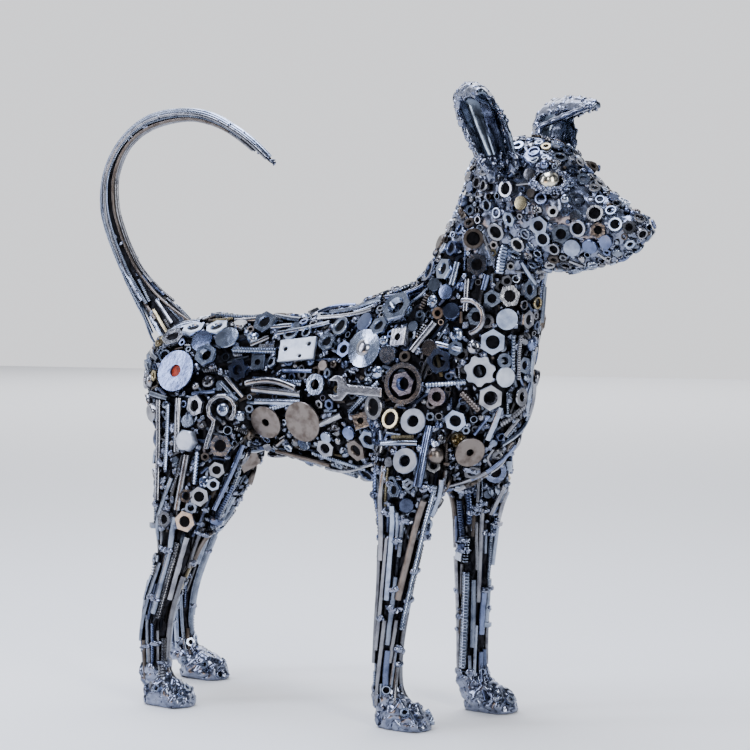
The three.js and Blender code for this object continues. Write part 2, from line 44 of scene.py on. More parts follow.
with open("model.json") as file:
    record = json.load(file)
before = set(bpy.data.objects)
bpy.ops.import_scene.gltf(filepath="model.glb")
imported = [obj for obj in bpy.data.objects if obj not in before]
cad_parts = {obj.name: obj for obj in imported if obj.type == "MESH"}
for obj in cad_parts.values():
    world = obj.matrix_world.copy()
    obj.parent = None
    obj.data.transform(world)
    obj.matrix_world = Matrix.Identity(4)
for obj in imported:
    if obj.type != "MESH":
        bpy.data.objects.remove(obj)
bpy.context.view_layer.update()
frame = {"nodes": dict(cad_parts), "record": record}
nodes = frame["nodes"]
mounts = {mount["name"]: Vector(mount["pos_m"]) for mount in frame["record"]["mounts"]}

MM = 0.001
LEGS = ("right_front", "left_front", "right_hind", "left_hind")
LEG_NODES = [leg + "_leg" for leg in LEGS]
MIDDLE_Y = 0.003             # m, the plane between the dog's right and left sides
UP = np.array([0.0, 0.0, 1.0])


# Colours and node helpers

def linear(code):
    """The linear colour of an sRGB hex code such as #8a8f99."""
    values = [int(code[i:i + 2], 16) / 255 for i in (1, 3, 5)]
    return tuple(v / 12.92 if v <= 0.04045 else ((v + 0.055) / 1.055) ** 2.4 for v in values)


def node(tree, kind, settings=(), **inputs):
    """Adds a shader node, sets its properties and fills or links its inputs by name."""
    made = tree.nodes.new(kind)
    for name, value in dict(settings).items():
        setattr(made, name, value)
    for name, value in inputs.items():
        socket = made.inputs[int(name[1:])] if name[0] == "_" else made.inputs[name.replace("_", " ")]
        if isinstance(value, bpy.types.NodeSocket):
            tree.links.new(value, socket)
        else:
            socket.default_value = value
    return made


def opaque(code):
    return (*linear(code), 1)


def noise(tree, place, scale, detail, **more):
    """The grey of a noise pattern."""
    return node(tree, "ShaderNodeTexNoise", _0=place, Scale=scale, Detail=detail, **more).outputs["Fac"]


def spread(tree, value, low, high, to_low=0.0, to_high=1.0, settings=()):
    """A value's range from low to high, mapped onto another range."""
    made = node(tree, "ShaderNodeMapRange", settings, _0=value, _1=low, _2=high, _3=to_low, _4=to_high)
    return made.outputs[0]


def mixed(tree, share, first, second, blend="MIX"):
    """The second colour over the first, by a share from 0 to 1."""
    settings = {"data_type": "RGBA", "blend_type": blend}
    return node(tree, "ShaderNodeMix", settings, _0=share, _6=first, _7=second).outputs[2]


def per_metre(size_mm):
    """The scale of a pattern whose features are size_mm apart, in a texture space of metres."""
    return 1 / (size_mm * MM)


# Small meshes

class Form:
    """A small closed mesh: its points, its faces of four corners and its faces of three."""

    def __init__(self, points, quads=(), tris=()):
        self.points = np.asarray(points, float).reshape(-1, 3)
        self.quads = np.asarray(quads, int).reshape(-1, 4)
        self.tris = np.asarray(tris, int).reshape(-1, 3)

    def moved(self, axes=None, offset=(0, 0, 0), scale=1.0):
        """A copy with its axes turned to the columns of axes, scaled and then shifted."""
        points = self.points * scale
        if axes is not None:
            points = points @ np.asarray(axes, float).T
        return Form(points + np.asarray(offset, float), self.quads, self.tris)

    def __add__(self, other):
        count = len(self.points)
        return Form(
            np.vstack([self.points, other.points]),
            np.vstack([self.quads, other.quads + count]),
            np.vstack([self.tris, other.tris + count]),
        )


def banded(rings, closed):
    """Rings with equal numbers of points, joined in order, and either closed on themselves or capped."""
    rings = np.asarray(rings, float)
    rows, count = rings.shape[:2]
    points = rings.reshape(-1, 3)
    turn = np.arange(count)
    after = (turn + 1) % count
    quads = []
    for row in range(rows if closed else rows - 1):
        low, high = row * count, (row + 1) % rows * count
        quads.append(np.stack([low + turn, low + after, high + after, high + turn], 1))
    if closed:
        return Form(points, np.vstack(quads))
    points = np.vstack([points, rings[0].mean(0), rings[-1].mean(0)])
    bottom, top = rows * count, rows * count + 1
    last = (rows - 1) * count
    tris = np.vstack([
        np.stack([after, turn, np.full(count, bottom)], 1),
        np.stack([last + turn, last + after, np.full(count, top)], 1),
    ])
    return Form(points, np.vstack(quads), tris)


def turned(profile, sides, closed=False, hexed=()):
    """A profile of (radius, height) turned about Z. The rows in hexed are hexagons across their flats."""
    angle = np.arange(sides) * 2 * math.pi / sides
    to_flat = np.abs((angle + math.pi / 6) % (math.pi / 3) - math.pi / 6)
    hexagon = 1 / np.cos(math.pi / 6 - to_flat)
    rings = []
    for row, (radius, height) in enumerate(profile):
        reach = radius * (hexagon if row in hexed else 1.0)
        ring = [reach * np.cos(angle), reach * np.sin(angle), np.full(sides, height)]
        rings.append(np.stack(ring, 1))
    return banded(rings, closed)


def nut(flats, bore, thick, sides=12, threads=1):
    """A hexagon nut with chamfered corners and a few turns of thread in its bore."""
    chamfer = 0.07 * flats
    inner, outer = bore / 2, flats / 2
    profile = [
        (outer * 0.97, 0), (outer, chamfer), (outer, thick - chamfer), (outer * 0.95, thick),
        (inner * 1.12, thick), (inner, thick - 0.06 * flats),
    ]
    for turn in range(threads):
        height = thick * (0.8 - 0.6 * (turn + 0.5) / threads)
        profile += [(inner * 0.86, height), (inner, height - 0.3 * thick / threads)]
    profile += [(inner, 0)]
    return turned(profile, sides, closed=True, hexed=(0, 1, 2, 3))


def bevelled(thick):
    """How far a flat piece's edge is rounded off, down its side and along its face."""
    edge = min(0.3 * thick, 0.5)
    return edge, 0.55 * edge


def washer(outer, bore, thick, sides=18, dome=0.0):
    """A flat or domed washer with its edges rounded off."""
    edge, bevel = bevelled(thick)
    far, near = outer / 2, bore / 2
    profile = [
        (far - bevel, 0), (far, edge), (far, thick - edge), (far - bevel, thick),
        (near + bevel, thick + dome), (near, thick + dome - edge), (near, dome),
    ]
    return turned(profile, sides, closed=True)


def plain_disc(outer, thick, sides=18, dome=0.0):
    edge, bevel = bevelled(thick)
    far = outer / 2
    profile = [
        (far - bevel, 0), (far, edge), (far, thick - edge), (far - bevel, thick),
        (far * 0.5, thick + dome * 0.75),
    ]
    return turned(profile, sides)


def toothed(outer, bore, thick, teeth, depth=0.16):
    """A star washer with square teeth round its rim."""
    sides = teeth * 4
    form = washer(outer, bore, thick, sides)
    turn = np.arange(sides)
    inward = np.where(turn % 4 < 2, 1.0, 1 - depth)
    rows = form.points.reshape(-1, sides, 3)
    rows[:4, :, :2] *= inward[None, :, None]
    return Form(rows.reshape(-1, 3), form.quads, form.tris)


def hex_head(flats, thick, sides=12):
    """A bolt's hexagon head with a chamfered top."""
    chamfer = 0.1 * flats
    outer = flats / 2
    return turned([(outer, 0), (outer, thick - chamfer), (outer * 0.93, thick)], sides, hexed=(0, 1))


def screw_head(across, thick, drive, cells=10):
    """A domed screw head with its drive sunk into it: slot, cross, star or plain."""
    line = np.linspace(-1, 1, cells + 1)
    u, v = np.meshgrid(line, line, indexing="ij")
    x, y = u * np.sqrt(1 - v * v / 2), v * np.sqrt(1 - u * u / 2)
    reach = np.hypot(x, y)
    height = thick * (1 - 0.55 * reach ** 3)
    sunk = {
        "slot": np.abs(x) < 0.16,
        "cross": ((np.abs(x) < 0.16) | (np.abs(y) < 0.16)) & (reach < 0.62),
        "star": reach < 0.34 + 0.12 * np.cos(6 * np.arctan2(y, x)),
        "plain": reach < 0,
    }[drive]
    height = np.where(sunk, height - 0.5 * thick, height)
    top = np.stack([x * across / 2, y * across / 2, height], 2).reshape(-1, 3)
    index = np.arange((cells + 1) ** 2).reshape(cells + 1, cells + 1)
    corners = [index[:-1, :-1], index[1:, :-1], index[1:, 1:], index[:-1, 1:]]
    quads = np.stack(corners, 2).reshape(-1, 4)
    rim = np.concatenate([index[:-1, 0], index[-1, :-1], index[:0:-1, -1], index[0, :0:-1]])
    foot = top[rim] * [1, 1, 0]
    base = len(top) + np.arange(len(rim))
    after = np.roll(np.arange(len(rim)), -1)
    skirt = np.stack([base, base[after], rim[after], rim], 1)
    below = np.stack([base[after], base, np.full(len(rim), len(top) + len(rim))], 1)
    return Form(np.vstack([top, foot, [0, 0, 0]]), np.vstack([quads, skirt]), below)


def square_nut(side, bore, thick, edge=0.5):
    """A square nut: a turned ring whose outer rows are pushed out to a square."""
    outer, inner = side / 2, bore / 2
    profile = [(outer, 0), (outer, thick - 0.6), (outer - edge, thick), (inner, thick), (inner, 0)]
    sides = 16
    form = turned(profile, sides, closed=True)
    rows = form.points.reshape(len(profile), sides, 3)
    for row in range(3):
        longest = np.abs(rows[row, :, :2]).max(1, keepdims=True)
        rows[row, :, :2] *= profile[row][0] / longest
    return Form(rows.reshape(-1, 3), form.quads)


def smooth_line(points, step):
    """Points along a Catmull-Rom curve through the given ones, about step apart."""
    points = np.asarray(points, float)
    ends = np.vstack([2 * points[0] - points[1], points, 2 * points[-1] - points[-2]])
    fine = []
    for a, b, c, d in zip(ends[:-3], ends[1:-2], ends[2:-1], ends[3:]):
        t = np.linspace(0, 1, 12, endpoint=False)[:, None]
        fine.append(0.5 * (2 * b + (c - a) * t + (2 * a - 5 * b + 4 * c - d) * t ** 2
                           + (3 * b - a - 3 * c + d) * t ** 3))
    fine = np.vstack(fine + [points[-1:]])
    run = np.concatenate([[0], np.cumsum(np.linalg.norm(np.diff(fine, axis=0), axis=1))])
    count = max(2, int(round(run[-1] / step)) + 1)
    at = np.linspace(0, run[-1], count)
    return np.stack([np.interp(at, run, fine[:, k]) for k in range(3)], 1)


def swept(line, radii, sides=8):
    """A round rod along a line of points, with its ends capped."""
    line = np.asarray(line, float)
    radii = np.broadcast_to(radii, len(line))
    along = np.gradient(line, axis=0)
    along /= np.linalg.norm(along, axis=1, keepdims=True)
    angle = np.arange(sides) * 2 * math.pi / sides
    side = np.cross(along[0], UP if abs(along[0][2]) < 0.9 else [1.0, 0, 0])
    rings = []
    for point, ahead, radius in zip(line, along, radii):
        side = side - ahead * (side @ ahead)
        side /= np.linalg.norm(side)
        across = np.cross(ahead, side)
        ring = np.cos(angle)[:, None] * side + np.sin(angle)[:, None] * across
        rings.append(point + radius * ring)
    return banded(rings, False)


def smooth_rod(points, thick, sides=8, step=3.0):
    return swept(smooth_line(points, step), thick / 2, sides)


def threaded_rod(points, thick, pitch, sides=8):
    """A rod with ridges one pitch apart, each a crest and a root."""
    line = smooth_line(points, pitch / 2)
    crest = np.where(np.arange(len(line)) % 2, 1.0, 1 - 0.6 * pitch / thick)
    return swept(line, crest * thick / 2, sides)


def lying_bolt(length, thick, head, kind, pitch=1.0):
    """A bolt on its side along X: a head at one end and a shank, threaded or plain, behind it."""
    start = -length / 2
    line = [[start, 0, 0], [length / 2, 0, 0]]
    shank = smooth_rod(line, thick) if kind == "plain" else threaded_rod(line, thick, pitch)
    top = screw_head(head, head * 0.5, "cross", 6) if kind == "round" else hex_head(head, head * 0.45)
    return shank + top.moved(axes=[[0, 0, -1], [0, 1, 0], [1, 0, 0]], offset=[start + 0.3, 0, 0])


def coil(length, across, wire, turns):
    """A helical spring along X."""
    t = np.linspace(0, 1, turns * 10 + 1)
    angle = t * turns * 2 * math.pi
    reach = (across - wire) / 2
    line = np.stack([(t - 0.5) * length, reach * np.cos(angle), reach * np.sin(angle)], 1)
    return swept(line, wire / 2, 5)


def bead(radius, rng, fine=True, shape=(1, 1, 1)):
    """A lump of weld metal: a rough ball of 80 faces, or of 20 where it isn't fine, stretched to a shape."""
    mesh = bmesh.new()
    bmesh.ops.create_icosphere(mesh, subdivisions=2 if fine else 1, radius=1.0)
    points = np.array([v.co for v in mesh.verts])
    tris = [[v.index for v in face.verts] for face in mesh.faces]
    mesh.free()
    lump = 1 + 0.28 * np.sin(points @ rng.normal(0, 3.2, (3, 3)) + rng.uniform(0, 6, 3)).sum(1) / 1.7
    return Form(points * lump[:, None] * radius * np.asarray(shape), (), tris)


# What the hardware sits on: the dog's solids as one smooth skin

def read(rows, name):
    """A property of a mesh's points or faces, three numbers for each."""
    values = np.zeros(len(rows) * 3)
    rows.foreach_get(name, values)
    return values.reshape(-1, 3)


def merged_copy(names, name, voxel, smoothing):
    """A new object that joins copies of CAD nodes into one even, smoothed mesh."""
    mesh = bmesh.new()
    for source in names:
        mesh.from_mesh(nodes[source].data)
    data = bpy.data.meshes.new(name)
    mesh.to_mesh(data)
    mesh.free()
    piece = bpy.data.objects.new(name, data)
    bpy.context.scene.collection.objects.link(piece)
    remesh = piece.modifiers.new("even", "REMESH")
    remesh.mode = "VOXEL"
    remesh.voxel_size = voxel
    smooth = piece.modifiers.new("smooth", "SMOOTH")
    smooth.iterations = smoothing
    smooth.factor = 0.5
    return applied(piece)


def applied(piece):
    """Swaps the object's mesh for its evaluated one and removes the modifiers."""
    graph = bpy.context.evaluated_depsgraph_get()
    data = bpy.data.meshes.new_from_object(piece.evaluated_get(graph))
    old = piece.data
    piece.modifiers.clear()
    piece.data = data
    data.name = piece.name
    bpy.data.meshes.remove(old)
    return piece


class Skin:
    """The surface of some nodes, to sample, to hit with rays and to measure depth below."""

    def __init__(self, names, voxel, smoothing):
        piece = merged_copy(names, "skin_sample", voxel, smoothing)
        data = piece.data
        self.points, self.normals = read(data.vertices, "co"), read(data.vertices, "normal")
        self.faces = [list(p.vertices) for p in data.polygons]
        self.tree = BVHTree.FromPolygons(self.points.tolist(), self.faces)
        area = np.zeros(len(data.polygons))
        data.polygons.foreach_get("area", area)
        self.share = np.cumsum(area) / area.sum()
        bpy.data.objects.remove(piece)
        bpy.data.meshes.remove(data)

    def normal(self, index, place):
        """The smooth normal at a place on a face."""
        corners = self.faces[index]
        near = 1 / (np.linalg.norm(self.points[corners] - np.array(place), axis=1) + 1e-5)
        turned_out = (self.normals[corners] * near[:, None]).sum(0)
        return turned_out / np.linalg.norm(turned_out)

    def nearest(self, place):
        """The closest spot on the surface and the normal there."""
        spot, _, index, _ = self.tree.find_nearest(Vector(place))
        return np.array(spot), self.normal(index, spot)

    def hit(self, start, ahead):
        """The spot and the normal where a ray first meets the surface, or nothing."""
        spot, _, index, _ = self.tree.ray_cast(Vector(start), Vector(ahead))
        return None if spot is None else (np.array(spot), self.normal(index, spot))

    def random_spot(self, rng):
        """A spot anywhere on the surface, as likely on each square millimetre, and the normal there."""
        index = int(np.searchsorted(self.share, rng.random()))
        corners = self.points[self.faces[index]]
        weights = rng.dirichlet(np.ones(len(corners)))
        return weights @ corners, self.normal(index, weights @ corners)

    def depth(self, points):
        """How far each point lies below the surface, negative above it."""
        found = []
        for point in points:
            spot, normal, _, _ = self.tree.find_nearest(Vector(point))
            found.append((spot - Vector(point)).dot(normal))
        return np.array(found)


# The photograph's camera, placed from the sole of the right front paw

EYE_FROM_PAW = Vector((0.6431, -1.1525, 0.268))   # from that sole to the camera
CAMERA_YAW = 30                                   # degrees between its aim and the dog's left side
IMAGE = 750                                       # pixels each way
FOCAL = 2097                                      # focal length in those pixels
HORIZON_ROW = 305                                 # the row of the horizon
SENSOR = 36                                       # mm

eye = mounts["right_front_sole"] + EYE_FROM_PAW
pitch = math.atan((IMAGE / 2 - HORIZON_ROW) / FOCAL)
yaw = math.radians(CAMERA_YAW)
aim = Vector((-math.sin(yaw) * math.cos(pitch), math.cos(yaw) * math.cos(pitch), -math.sin(pitch)))
aim_right = Vector((math.cos(yaw), math.sin(yaw), 0))
aim_up = aim_right.cross(aim)


def through_pixel(column, row):
    """The direction from the camera through a pixel of the photograph."""
    across, down = (column - IMAGE / 2) / FOCAL, (row - IMAGE / 2) / FOCAL
    return (aim + aim_right * across - aim_up * down).normalized()


def basis(normal, toward):
    """Axes for a piece that lies on a surface: its X along toward, its Z out of the surface."""
    normal = np.asarray(normal, float)
    normal = normal / np.linalg.norm(normal)
    x = np.asarray(toward, float) - normal * (np.asarray(toward, float) @ normal)
    if np.linalg.norm(x) < 1e-6:
        x = np.cross(normal, UP + 0.01)
    x /= np.linalg.norm(x)
    return np.stack([x, np.cross(normal, x), normal], 1)


# Assembling many small forms into one piece

SHARP_EDGE = math.radians(50)    # faces that turn more than this meet in an edge


class Heap:
    """Gathers forms into one object, with a steel, a tint and a painted shade value for each."""

    def __init__(self):
        self.points, self.quads, self.tris = [], [], []
        self.quad_steel, self.tri_steel, self.tints = [], [], []
        self.count = 0

    def add(self, form, steel, tint):
        """form is in metres and in the frame."""
        self.points.append(form.points)
        self.quads.append(form.quads + self.count)
        self.tris.append(form.tris + self.count)
        self.quad_steel.append(np.full(len(form.quads), steel))
        self.tri_steel.append(np.full(len(form.tris), steel))
        self.tints.append(np.full(len(form.points), tint))
        self.count += len(form.points)

    def place(self, form, axes, spot, steel, tint):
        """Adds a form drawn in millimetres, with its axes turned and its origin at the spot."""
        self.add(form.moved(axes, spot, MM), steel, tint)

    def made(self, name, slot, skin, shade_depth, replaced=()):
        """Makes the heap one object that rides on the frame, darkened by painted shade the deeper its points
        lie below the skin.
        """
        points = np.vstack(self.points)
        quads, tris = np.vstack(self.quads), np.vstack(self.tris)
        data = bpy.data.meshes.new(name)
        data.vertices.add(len(points))
        data.vertices.foreach_set("co", points.ravel())
        data.loops.add(quads.size + tris.size)
        data.loops.foreach_set("vertex_index", np.concatenate([quads.ravel(), tris.ravel()]))
        data.polygons.add(len(quads) + len(tris))
        starts = np.concatenate([np.arange(len(quads)) * 4, quads.size + np.arange(len(tris)) * 3])
        data.polygons.foreach_set("loop_start", starts)
        metals = np.concatenate(self.quad_steel + self.tri_steel).astype(int)
        data.polygons.foreach_set("material_index", metals)
        data.update(calc_edges=True)
        for metal in STEELS:
            data.materials.append(bpy.data.materials[metal])
        data.polygons.foreach_set("use_smooth", np.ones(len(data.polygons), bool))
        data.set_sharp_from_angle(angle=SHARP_EDGE)
        write(data, "tint", np.concatenate(self.tints))
        # Painted shade: points darken the deeper they lie below the skin.
        write(data, "painted_shade", np.clip(skin.depth(points) / shade_depth, 0, 1))
        piece = bpy.data.objects.new(name, data)
        bpy.context.scene.collection.objects.link(piece)
        dressed(piece, replaced)


def write(data, name, values):
    """Stores one number for each point of a mesh."""
    layer = data.attributes.new(name, "FLOAT", "POINT")
    layer.data.foreach_set("value", np.asarray(values, np.float32))


def dressed(piece, replaced):
    """Ties a finished piece to the frame."""
    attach(piece, "root")
    if replaced:
        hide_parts(*replaced)


# Steels. Each name says what the scrap is and how its surface was made.

ZINC = "zinc_plated_steel"
ROLLED = "rubbed_rolled_steel"
WEATHERED = "weathered_steel"
STRAW = "straw_zinc_steel"
BLUED = "torch_blued_steel"
WELD = "weld_metal"
SCALE_AND_SHADE = "mill_scale_and_painted_shade"
SHEET = "polished_sheet_steel"
BRUSHED = "brushed_zinc_steel"
BEARING = "satin_bearing_steel"
RED = "red_oxide_primer"

# name: (base, worn or heated patches, dark colour for dirt in the pits and for painted shade, roughness, the
# patches' size in mm, the dents' height in mm)
STEELS = {
    # Zinc plating on nuts, washers and bolts: cold, bright and slightly blue, dulled by the weld's heat.
    ZINC: ("#a4aec1", "#727c91", "#121318", 0.17, 8.0, 0.1),
    # Rolled steel rubbed bright: neutral silver with soft streaks, the plainest of the scraps.
    ROLLED: ("#a0a1a7", "#75757c", "#121110", 0.18, 8.0, 0.1),
    # Steel that has stood outdoors: grey-brown with a little rust in its hollows.
    WEATHERED: ("#766e68", "#554c46", "#0f0c0a", 0.3, 6.0, 0.1),
    # Yellow passivated zinc: a warm straw gold on a few rings and screws.
    STRAW: ("#b3a684", "#7d725c", "#15110d", 0.22, 5.0, 0.05),
    # Steel blued by the torch: lavender and slate over bright metal.
    BLUED: ("#7480a0", "#525a74", "#101119", 0.2, 8.0, 0.1),
    # Weld metal and spatter: lumpy, bluish grey, with wet-looking highlights on its runs.
    WELD: ("#8c93a7", "#565c6e", "#0b0c10", 0.2, 4.0, 0.06),
    # The dark skin under the scraps: nearly black with dull glints, partly mill scale and partly painted
    # shade, also used as dark discs of painted shade in holes and behind the eyes.
    SCALE_AND_SHADE: ("#232327", "#121214", "#040405", 0.45, 2.5, 0.15),
    # Polished sheet inside the ears: dark and mirror-like, so it shows the light as a pale blue patch.
    SHEET: ("#66707f", "#232832", "#07080a", 0.14, 16.0, 0.0),
    # Zinc brushed by hand on a few large washers and plates: the palest and softest of the scraps.
    BRUSHED: ("#d3d9e4", "#b0b8c8", "#1a1c22", 0.4, 9.0, 0.03),
    # The eyes' bearing balls: a satin champagne silver.
    BEARING: ("#d2ccba", "#aaa28c", "#2a2620", 0.2, 16.0, 0.0),
    # What is left of red paint, seen only inside one washer.
    RED: ("#a8320f", "#5d1c0f", "#200a06", 0.6, 2.0, 0.05),
}
PAINTED = {RED}
WEAR = 1.0                   # mm between pits. Real ones are finer, but a millimetre is the least that shows.
DENTS = 2.6                  # mm between dents
SCRAP_STEELS = {ZINC: 0.4, ROLLED: 0.3, WEATHERED: 0.1, STRAW: 0.02, BLUED: 0.18}
ROD_STEELS = {ZINC: 0.38, ROLLED: 0.32, WEATHERED: 0.12, BLUED: 0.16, STRAW: 0.02}
STEEL_NAMES = list(STEELS)


def steel(name):
    """The index of a steel in every heap's list of materials."""
    return STEEL_NAMES.index(name)


def make_steel(name):
    """Two colours in patches, darkened by each scrap's own tint and by painted shade where it lies deep, over
    shallow dents.
    """
    base, patch, dirt_and_shade, roughness, patch_size, relief = STEELS[name]
    material = bpy.data.materials.new(name)
    material.use_nodes = True
    tree = material.node_tree
    tree.nodes.clear()
    place = node(tree, "ShaderNodeTexCoord").outputs["Object"]
    tint = node(tree, "ShaderNodeAttribute", {"attribute_name": "tint"}).outputs["Fac"]
    painted_shade = node(tree, "ShaderNodeAttribute", {"attribute_name": "painted_shade"}).outputs["Fac"]
    clouds = noise(tree, place, per_metre(patch_size), 3.0)
    wear = noise(tree, place, per_metre(WEAR), 2.0, Roughness=0.6)
    dents = noise(tree, place, per_metre(DENTS), 1.5)
    metal = mixed(tree, spread(tree, clouds, 0.45, 0.68), opaque(base), opaque(patch))
    toned = mixed(tree, 1.0, metal, spread(tree, tint, 0.0, 1.0, 0.45, 1.1), "MULTIPLY")
    adding = {"operation": "MULTIPLY_ADD"}
    # Dirt in the wear pits, plus painted shade from the value that grows with depth.
    wear_and_shade = node(tree, "ShaderNodeMath", adding, _0=wear, _1=0.4, _2=painted_shade).outputs[0]
    colour = mixed(tree, spread(tree, wear_and_shade, 0.28, 0.95), toned, opaque(dirt_and_shade))
    rough = spread(tree, wear_and_shade, 0.1, 1.3, roughness - 0.03, roughness + 0.3)
    bump = node(tree, "ShaderNodeBump", Strength=1.0, Distance=relief * MM, Height=dents)
    surface = node(tree, "ShaderNodeBsdfPrincipled", Base_Color=colour, Roughness=rough,
                   Normal=bump.outputs[0], Metallic=0.0 if name in PAINTED else 1.0)
    node(tree, "ShaderNodeOutputMaterial", Surface=surface.outputs[0])


# The catalogue of scraps. Sizes are across the piece, in millimetres.

HOLE_DEPTH = 1.7             # mm from a nut's or a tube's face down to the dark disc of painted shade in it
SHADE_DISC_THICK = 0.2             # mm, the thickness of that disc of painted shade
SHADE_DISC_EDGE = 0.3              # mm that the disc of painted shade reaches into the wall round it
# kind: the hole's width as a share of the piece's
HOLES = {
    "nut": 0.53, "thin_nut": 0.55, "ring": 0.66, "tube": 0.64, "square_nut": 0.42, "thick_washer": 0.48,
}


def facing_form(kind, size, fine=True):
    """A piece that lies flat with its face outwards, and its height.

    Holes and heights are shares of the size, as on standard hardware, and sheet is 1.6 to 3 mm thick.
    """
    sides = 18 if fine and size > 11 else 12
    rounded = sides + (6 if fine else 2)
    threads = 2 if fine and size > 9 else 1
    hole = HOLES.get(kind, 0) * size
    dome = 0.1 * size
    made = {
        "nut": lambda: (nut(size, hole, 0.46 * size, sides, threads), 0.46 * size),
        "thin_nut": lambda: (nut(size, hole, 0.3 * size, sides), 0.3 * size),
        "washer": lambda: (washer(size, 0.46 * size, 1.8, rounded), 1.8),
        "thick_washer": lambda: (washer(size, hole, 3.0, rounded), 3.0),
        "dome_washer": lambda: (washer(size, 0.3 * size, 1.6, rounded, dome), 1.6 + dome),
        "ring": lambda: (washer(size, hole, 0.25 * size, rounded), 0.25 * size),
        "tube": lambda: (washer(size, hole, 0.7 * size, sides), 0.7 * size),
        "disc": lambda: (plain_disc(size, 1.8, rounded, 0.02 * size), 1.8 + 0.015 * size),
        "toothed": lambda: (toothed(size, 0.42 * size, 2.0, 7), 2.0),
        "hex_head": lambda: (hex_head(size, 0.42 * size), 0.42 * size),
        "slot_head": lambda: (screw_head(size, 0.42 * size, "slot", 12), 0.42 * size),
        "cross_head": lambda: (screw_head(size, 0.42 * size, "cross", 12), 0.42 * size),
        "button": lambda: (screw_head(size, 0.5 * size, "plain", 6), 0.5 * size),
        "square_nut": lambda: (square_nut(size, hole, 0.4 * size), 0.4 * size),
        "plate": lambda: (plain_disc(size, 1.8, 4), 1.8),
    }
    return made[kind]()


def face_up(heap, kind, size, lay, spot, normal, lift, metal, tint, fine=True):
    """Sets a facing piece so that its top stands lift above the skin, with a dark disc of painted shade in
    the bottom of its hole.
    """
    form, height = facing_form(kind, size, fine)
    foot = spot + normal * (lift - height) * MM
    heap.place(form, lay, foot, metal, tint)
    # A dark disc at the bottom of the hole stands in for the shade in it.
    if kind in HOLES and height > HOLE_DEPTH + 2 * SHADE_DISC_THICK:
        reach = HOLES[kind] * size / 2 + SHADE_DISC_EDGE
        floor = turned([(reach, 0), (reach, SHADE_DISC_THICK)], 10)
        heap.place(floor, lay, foot + lay[:, 2] * (height - HOLE_DEPTH) * MM, steel(SCALE_AND_SHADE), 0.0)


def lying_form(kind, length, thick):
    """A stiff piece on its side along X, its axis at height 0."""
    half, bend = length / 2, 0.1 * length
    turns = max(4, int(length / (thick * 0.5)))
    made = {
        "bolt": lambda: lying_bolt(length, thick, thick * 1.75, "hex", 1.6),
        "plain_bolt": lambda: lying_bolt(length, thick, thick * 1.75, "plain"),
        "screw": lambda: lying_bolt(length, thick, thick * 1.9, "round", 1.4),
        "spring": lambda: coil(length, thick * 1.5, thick * 0.34, turns),
        "bent_pin": lambda: smooth_rod([[-half, -bend, 0], [0, 1.2 * bend, 0], [half, -bend, 0]],
                                       thick, 8, 2.5),
    }
    return made[kind]()


class Footprints:
    """Where pieces already lie, as balls, so that the next ones find a free place."""

    MOST = 40000

    def __init__(self):
        self.spots = np.zeros((self.MOST, 3))
        self.reach = np.zeros(self.MOST)
        self.count = 0

    def free(self, spots, reach, overlap):
        """Whether balls of that reach fit, where they may overlap others by a share of it."""
        held = self.spots[:self.count]
        gap = np.linalg.norm(held[:, None] - spots[None], axis=2) - self.reach[:self.count, None]
        return bool((gap > reach * (1 - overlap)).all())

    def take(self, spots, reach):
        rows = slice(self.count, self.count + len(spots))
        self.spots[rows] = spots
        self.reach[rows] = reach
        self.count += len(spots)


def random_steel(rng, shares=SCRAP_STEELS):
    return steel(list(shares)[int(rng.choice(len(shares), p=list(shares.values())))])


def skin_path(skin, spot, heading, length, stride=6.0):
    """Points and normals on the skin, walked half the length each way from a spot."""
    runs = []
    count = max(1, int(round(length / 2 / stride)))
    start = skin.nearest(spot)
    for sense in (-1, 1):
        (at, normal), ahead, run = start, heading * sense, []
        for _ in range(count):
            ahead = ahead - normal * (ahead @ normal)
            ahead = ahead / (np.linalg.norm(ahead) + 1e-9)
            at, normal = skin.nearest(at + ahead * length / 2 / count * MM)
            run.append((at, normal))
        runs.append(run)
    steps = runs[0][::-1] + [start] + runs[1]
    points, normals = np.array([p for p, _ in steps]), np.array([n for _, n in steps])
    for _ in range(2):
        points[1:-1] = (points[:-2] + 2 * points[1:-1] + points[2:]) / 4
    return points, normals


FLOOR_CLEAR = 0.006          # z, below which no rod may reach
ROOM = 0.92                  # the share of a rod's thickness that has to be free
LAID = {"stud", "pin"}       # the kinds that bend with the skin


def lay_rod(heap, skin, taken, spot, heading, length, thick, kind, metal, tint, lift, overlap):
    """Lays a rod along the skin with its top lift above it, if its way is free."""
    points, normals = skin_path(skin, spot, heading, length)
    reach = thick / 2 * MM * ROOM
    crowded = overlap < 1 and not taken.free(points, reach, overlap)
    if points[:, 2].min() < FLOOR_CLEAR or crowded:
        return
    taken.take(points, reach)
    line = (points + normals * (lift - thick / 2) * MM) / MM
    if kind == "stud":
        form = threaded_rod(line, thick, 1.5 if thick < 4 else 2.0)
    else:
        form = smooth_rod(line, thick, 10 if thick > 3 else 7, 4.0)
    heap.add(form.moved(scale=MM), metal, tint)


STIFF_ROOM = 0.95            # the same share for a piece that can't bend
EVEN = 0.8                   # the least agreement of the normals under its two ends


def lay_stiff(heap, skin, taken, spot, normal, heading, length, thick, kind, metal, tint, lift, overlap):
    """Lays a piece on its side between two places of the skin, if its way is free and even."""
    lay = basis(normal, heading)
    offsets = np.linspace(-0.5, 0.5, max(2, int(length / thick))) * length * MM
    spots = spot + offsets[:, None] * lay[:, 0]
    reach = thick / 2 * MM * STIFF_ROOM
    first, first_normal = skin.nearest(spots[0])
    last, last_normal = skin.nearest(spots[-1])
    if not taken.free(spots, reach, overlap) or first_normal @ last_normal < EVEN:
        return
    lay = basis(normal + first_normal + last_normal, last - first)
    middle = (first + last + 2 * spot) / 4
    form = lying_form(kind, length, thick)
    heap.place(form, lay, middle + lay[:, 2] * (lift - thick / 2) * MM, metal, tint)
    taken.take(spots, reach)


LEAN = 0.13                  # how far a facing piece leans, as a slope


